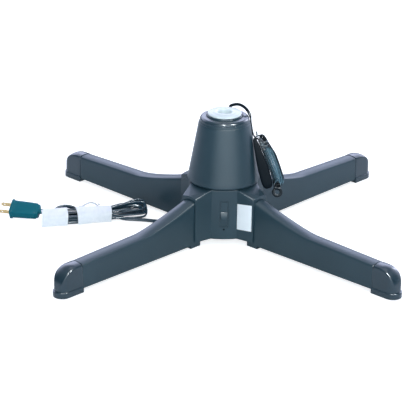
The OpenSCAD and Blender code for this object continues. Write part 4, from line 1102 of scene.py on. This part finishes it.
def sleeve(name, outer, bore, z, rim, thick, body):
    """White sleeve with a flange on top; its mouth is chamfered and every edge is rounded."""
    low = z - 62
    e = min(0.35, thick * 0.4)
    profile = [(bore, low + 0.4), (bore + 0.4, low), (outer - 0.5, low), (outer, low + 0.6),
               (outer, z - 0.4), (outer + 0.3, z), (rim - 1.4, z), (rim - e, z + 0.25),
               (rim, z + e + 0.15), (rim, z + thick - e), (rim - 0.3 * e, z + thick - 0.3 * e),
               (rim - e, z + thick), (bore + 2.0, z + thick), (bore + 1.5, z + thick - 0.1),
               (bore + 0.25, z + thick - 1.2), (bore, z + thick - 1.7), (bore, low + 0.4)]
    return piece("sleeve_" + name, revolve(profile, 128), body, white,
                 replaces=("adapter_" + name,), sharp=35)


sleeve("large", 18.1, 16.1, 170.6, 22.6, 2.4, "large_adapter")
sleeve("middle", 15.95, 12.9, 173.0, 20.5, 0.7, "middle_adapter")
sleeve("small", 12.75, 9.7, 173.7, 15.8, 0.7, "small_adapter")
print("turret", cone[-1][1], "mm high at its cone's top")

# %% [markdown]
# ## Light, floor and background
#
# The studio is bright in front and most of all behind, dimmer above, and dark at the sides. That gives
# the cone its light middle and dark flanks and makes the tops of the legs shine. The floor is pale and
# keeps the shadow, and rays from the camera that miss everything see plain white. Two narrow windows
# light glossy surfaces alone, and make the streak on the nose of a toe cap.

# %% Stage
bpy.context.scene.view_settings.view_transform = "Standard"
world = bpy.data.worlds.new("world")
bpy.context.scene.world = world
world.use_nodes = True
tree = world.node_tree
sky = tree.nodes["Background"]
looking = tree.nodes.new("ShaderNodeSeparateXYZ")
tree.links.new(tree.nodes.new("ShaderNodeTexCoord").outputs["Generated"], looking.inputs[0])
east, north, zenith = (Val(tree, socket) for socket in looking.outputs)
front = (north * -0.99 + east * 0.10).ramp(0.64, 0.86) * 2.5
behind = north.ramp(0.15, 0.6) * zenith.ramp(0.08, 0.3) * (1.0 - zenith.ramp(0.5, 0.75)) * 3.4
right_edge = (north * 0.52 + east * 0.85).ramp(0.86, 0.97) * 1.4
studio = front + behind + right_edge + zenith.ramp(0.3, 0.9) * 0.5 + 0.05
tree.links.new(studio.socket, sky.inputs[1])
tint = tree.nodes.new("ShaderNodeMix")
tint.data_type = "RGBA"
tree.links.new(north.ramp(-0.1, 0.4).socket, tint.inputs[0])
tint.inputs[6].default_value, tint.inputs[7].default_value = (0.76, 0.90, 1.0, 1), (0.70, 0.75, 1.0, 1)
tree.links.new(tint.outputs[2], sky.inputs[0])
backdrop = tree.nodes.new("ShaderNodeBackground")
backdrop.inputs[0].default_value, backdrop.inputs[1].default_value = (1, 1, 1, 1), 1.0
path_node, mixer = tree.nodes.new("ShaderNodeLightPath"), tree.nodes.new("ShaderNodeMixShader")
tree.links.new(path_node.outputs["Is Camera Ray"], mixer.inputs[0])
tree.links.new(sky.outputs[0], mixer.inputs[1])
tree.links.new(backdrop.outputs[0], mixer.inputs[2])
tree.links.new(mixer.outputs[0], tree.nodes["World Output"].inputs[0])

floor_mesh = bpy.data.meshes.new("floor")
floor_mesh.from_pydata([(-1.2, -1.2, -0.0002), (1.2, -1.2, -0.0002), (1.2, 2.4, -0.0002),
                        (-1.2, 2.4, -0.0002)], [], [(0, 1, 2, 3)])
floor = bpy.data.objects.new("floor", floor_mesh)
bpy.context.scene.collection.objects.link(floor)
floor_material = Material("floor", Roughness=0.9)
floor_material.shader.inputs["Specular IOR Level"].default_value = 0.0
floor_material.shader.inputs["Base Color"].default_value = (0.70, 0.72, 0.74, 1)
rays = floor_material.node("ShaderNodeLightPath")
camera_ray, glossy_ray, through_ray = (Val(floor_material.tree, rays.outputs["Is " + kind + " Ray"])
                                       for kind in ("Camera", "Glossy", "Transmission"))
seen = camera_ray * 0.75 + glossy_ray * 0.14 + through_ray * 0.75
floor_material.tree.links.new(seen.socket, floor_material.shader.inputs["Emission Color"])
floor_material.shader.inputs["Emission Strength"].default_value = 1.0
floor_mesh.materials.append(floor_material.data)


def area_light(name, place, target, size, power, colour):
    """Rectangular lamp of a size in metres and a power in watts that faces its target."""
    data = bpy.data.lights.new(name, "AREA")
    data.shape, data.size, data.size_y = "RECTANGLE", size[0], size[1]
    data.energy, data.color = power, colour
    obj = bpy.data.objects.new(name, data)
    obj.location = place
    obj.rotation_euler = (Vector(target) - Vector(place)).to_track_quat("-Z", "Y").to_euler()
    bpy.context.scene.collection.objects.link(obj)
    return obj


area_light("overhead", (0.1, 0.3, 2.2), (0, 0, 0), (1.6, 1.6), 7, (0.95, 0.96, 1.0))
area_light("front_strip", (0.1, -0.8, 1.9), (0, 0, 0.1), (1.3, 0.14), 3, (0.95, 0.97, 1.0))
area_light("front_soft", (0.3, -2.6, 0.9), (0, 0, 0.1), (2.0, 1.0), 12, (0.92, 0.97, 1.0))
for name, place in (("left_window", (-0.1, -1.0, 1.2)), ("right_window", (0.75, -0.75, 1.0))):
    window = area_light(name, place, (-0.2, -0.2, 0.03), (0.10, 0.34), 26, (0.90, 0.96, 1.0))
    window.visible_diffuse = False
area_light("right_rim", (1.6, 1.4, 0.9), (0, 0, 0.08), (0.5, 1.0), 10, (0.84, 0.86, 1.0))
print("lamps", len(bpy.data.lights))
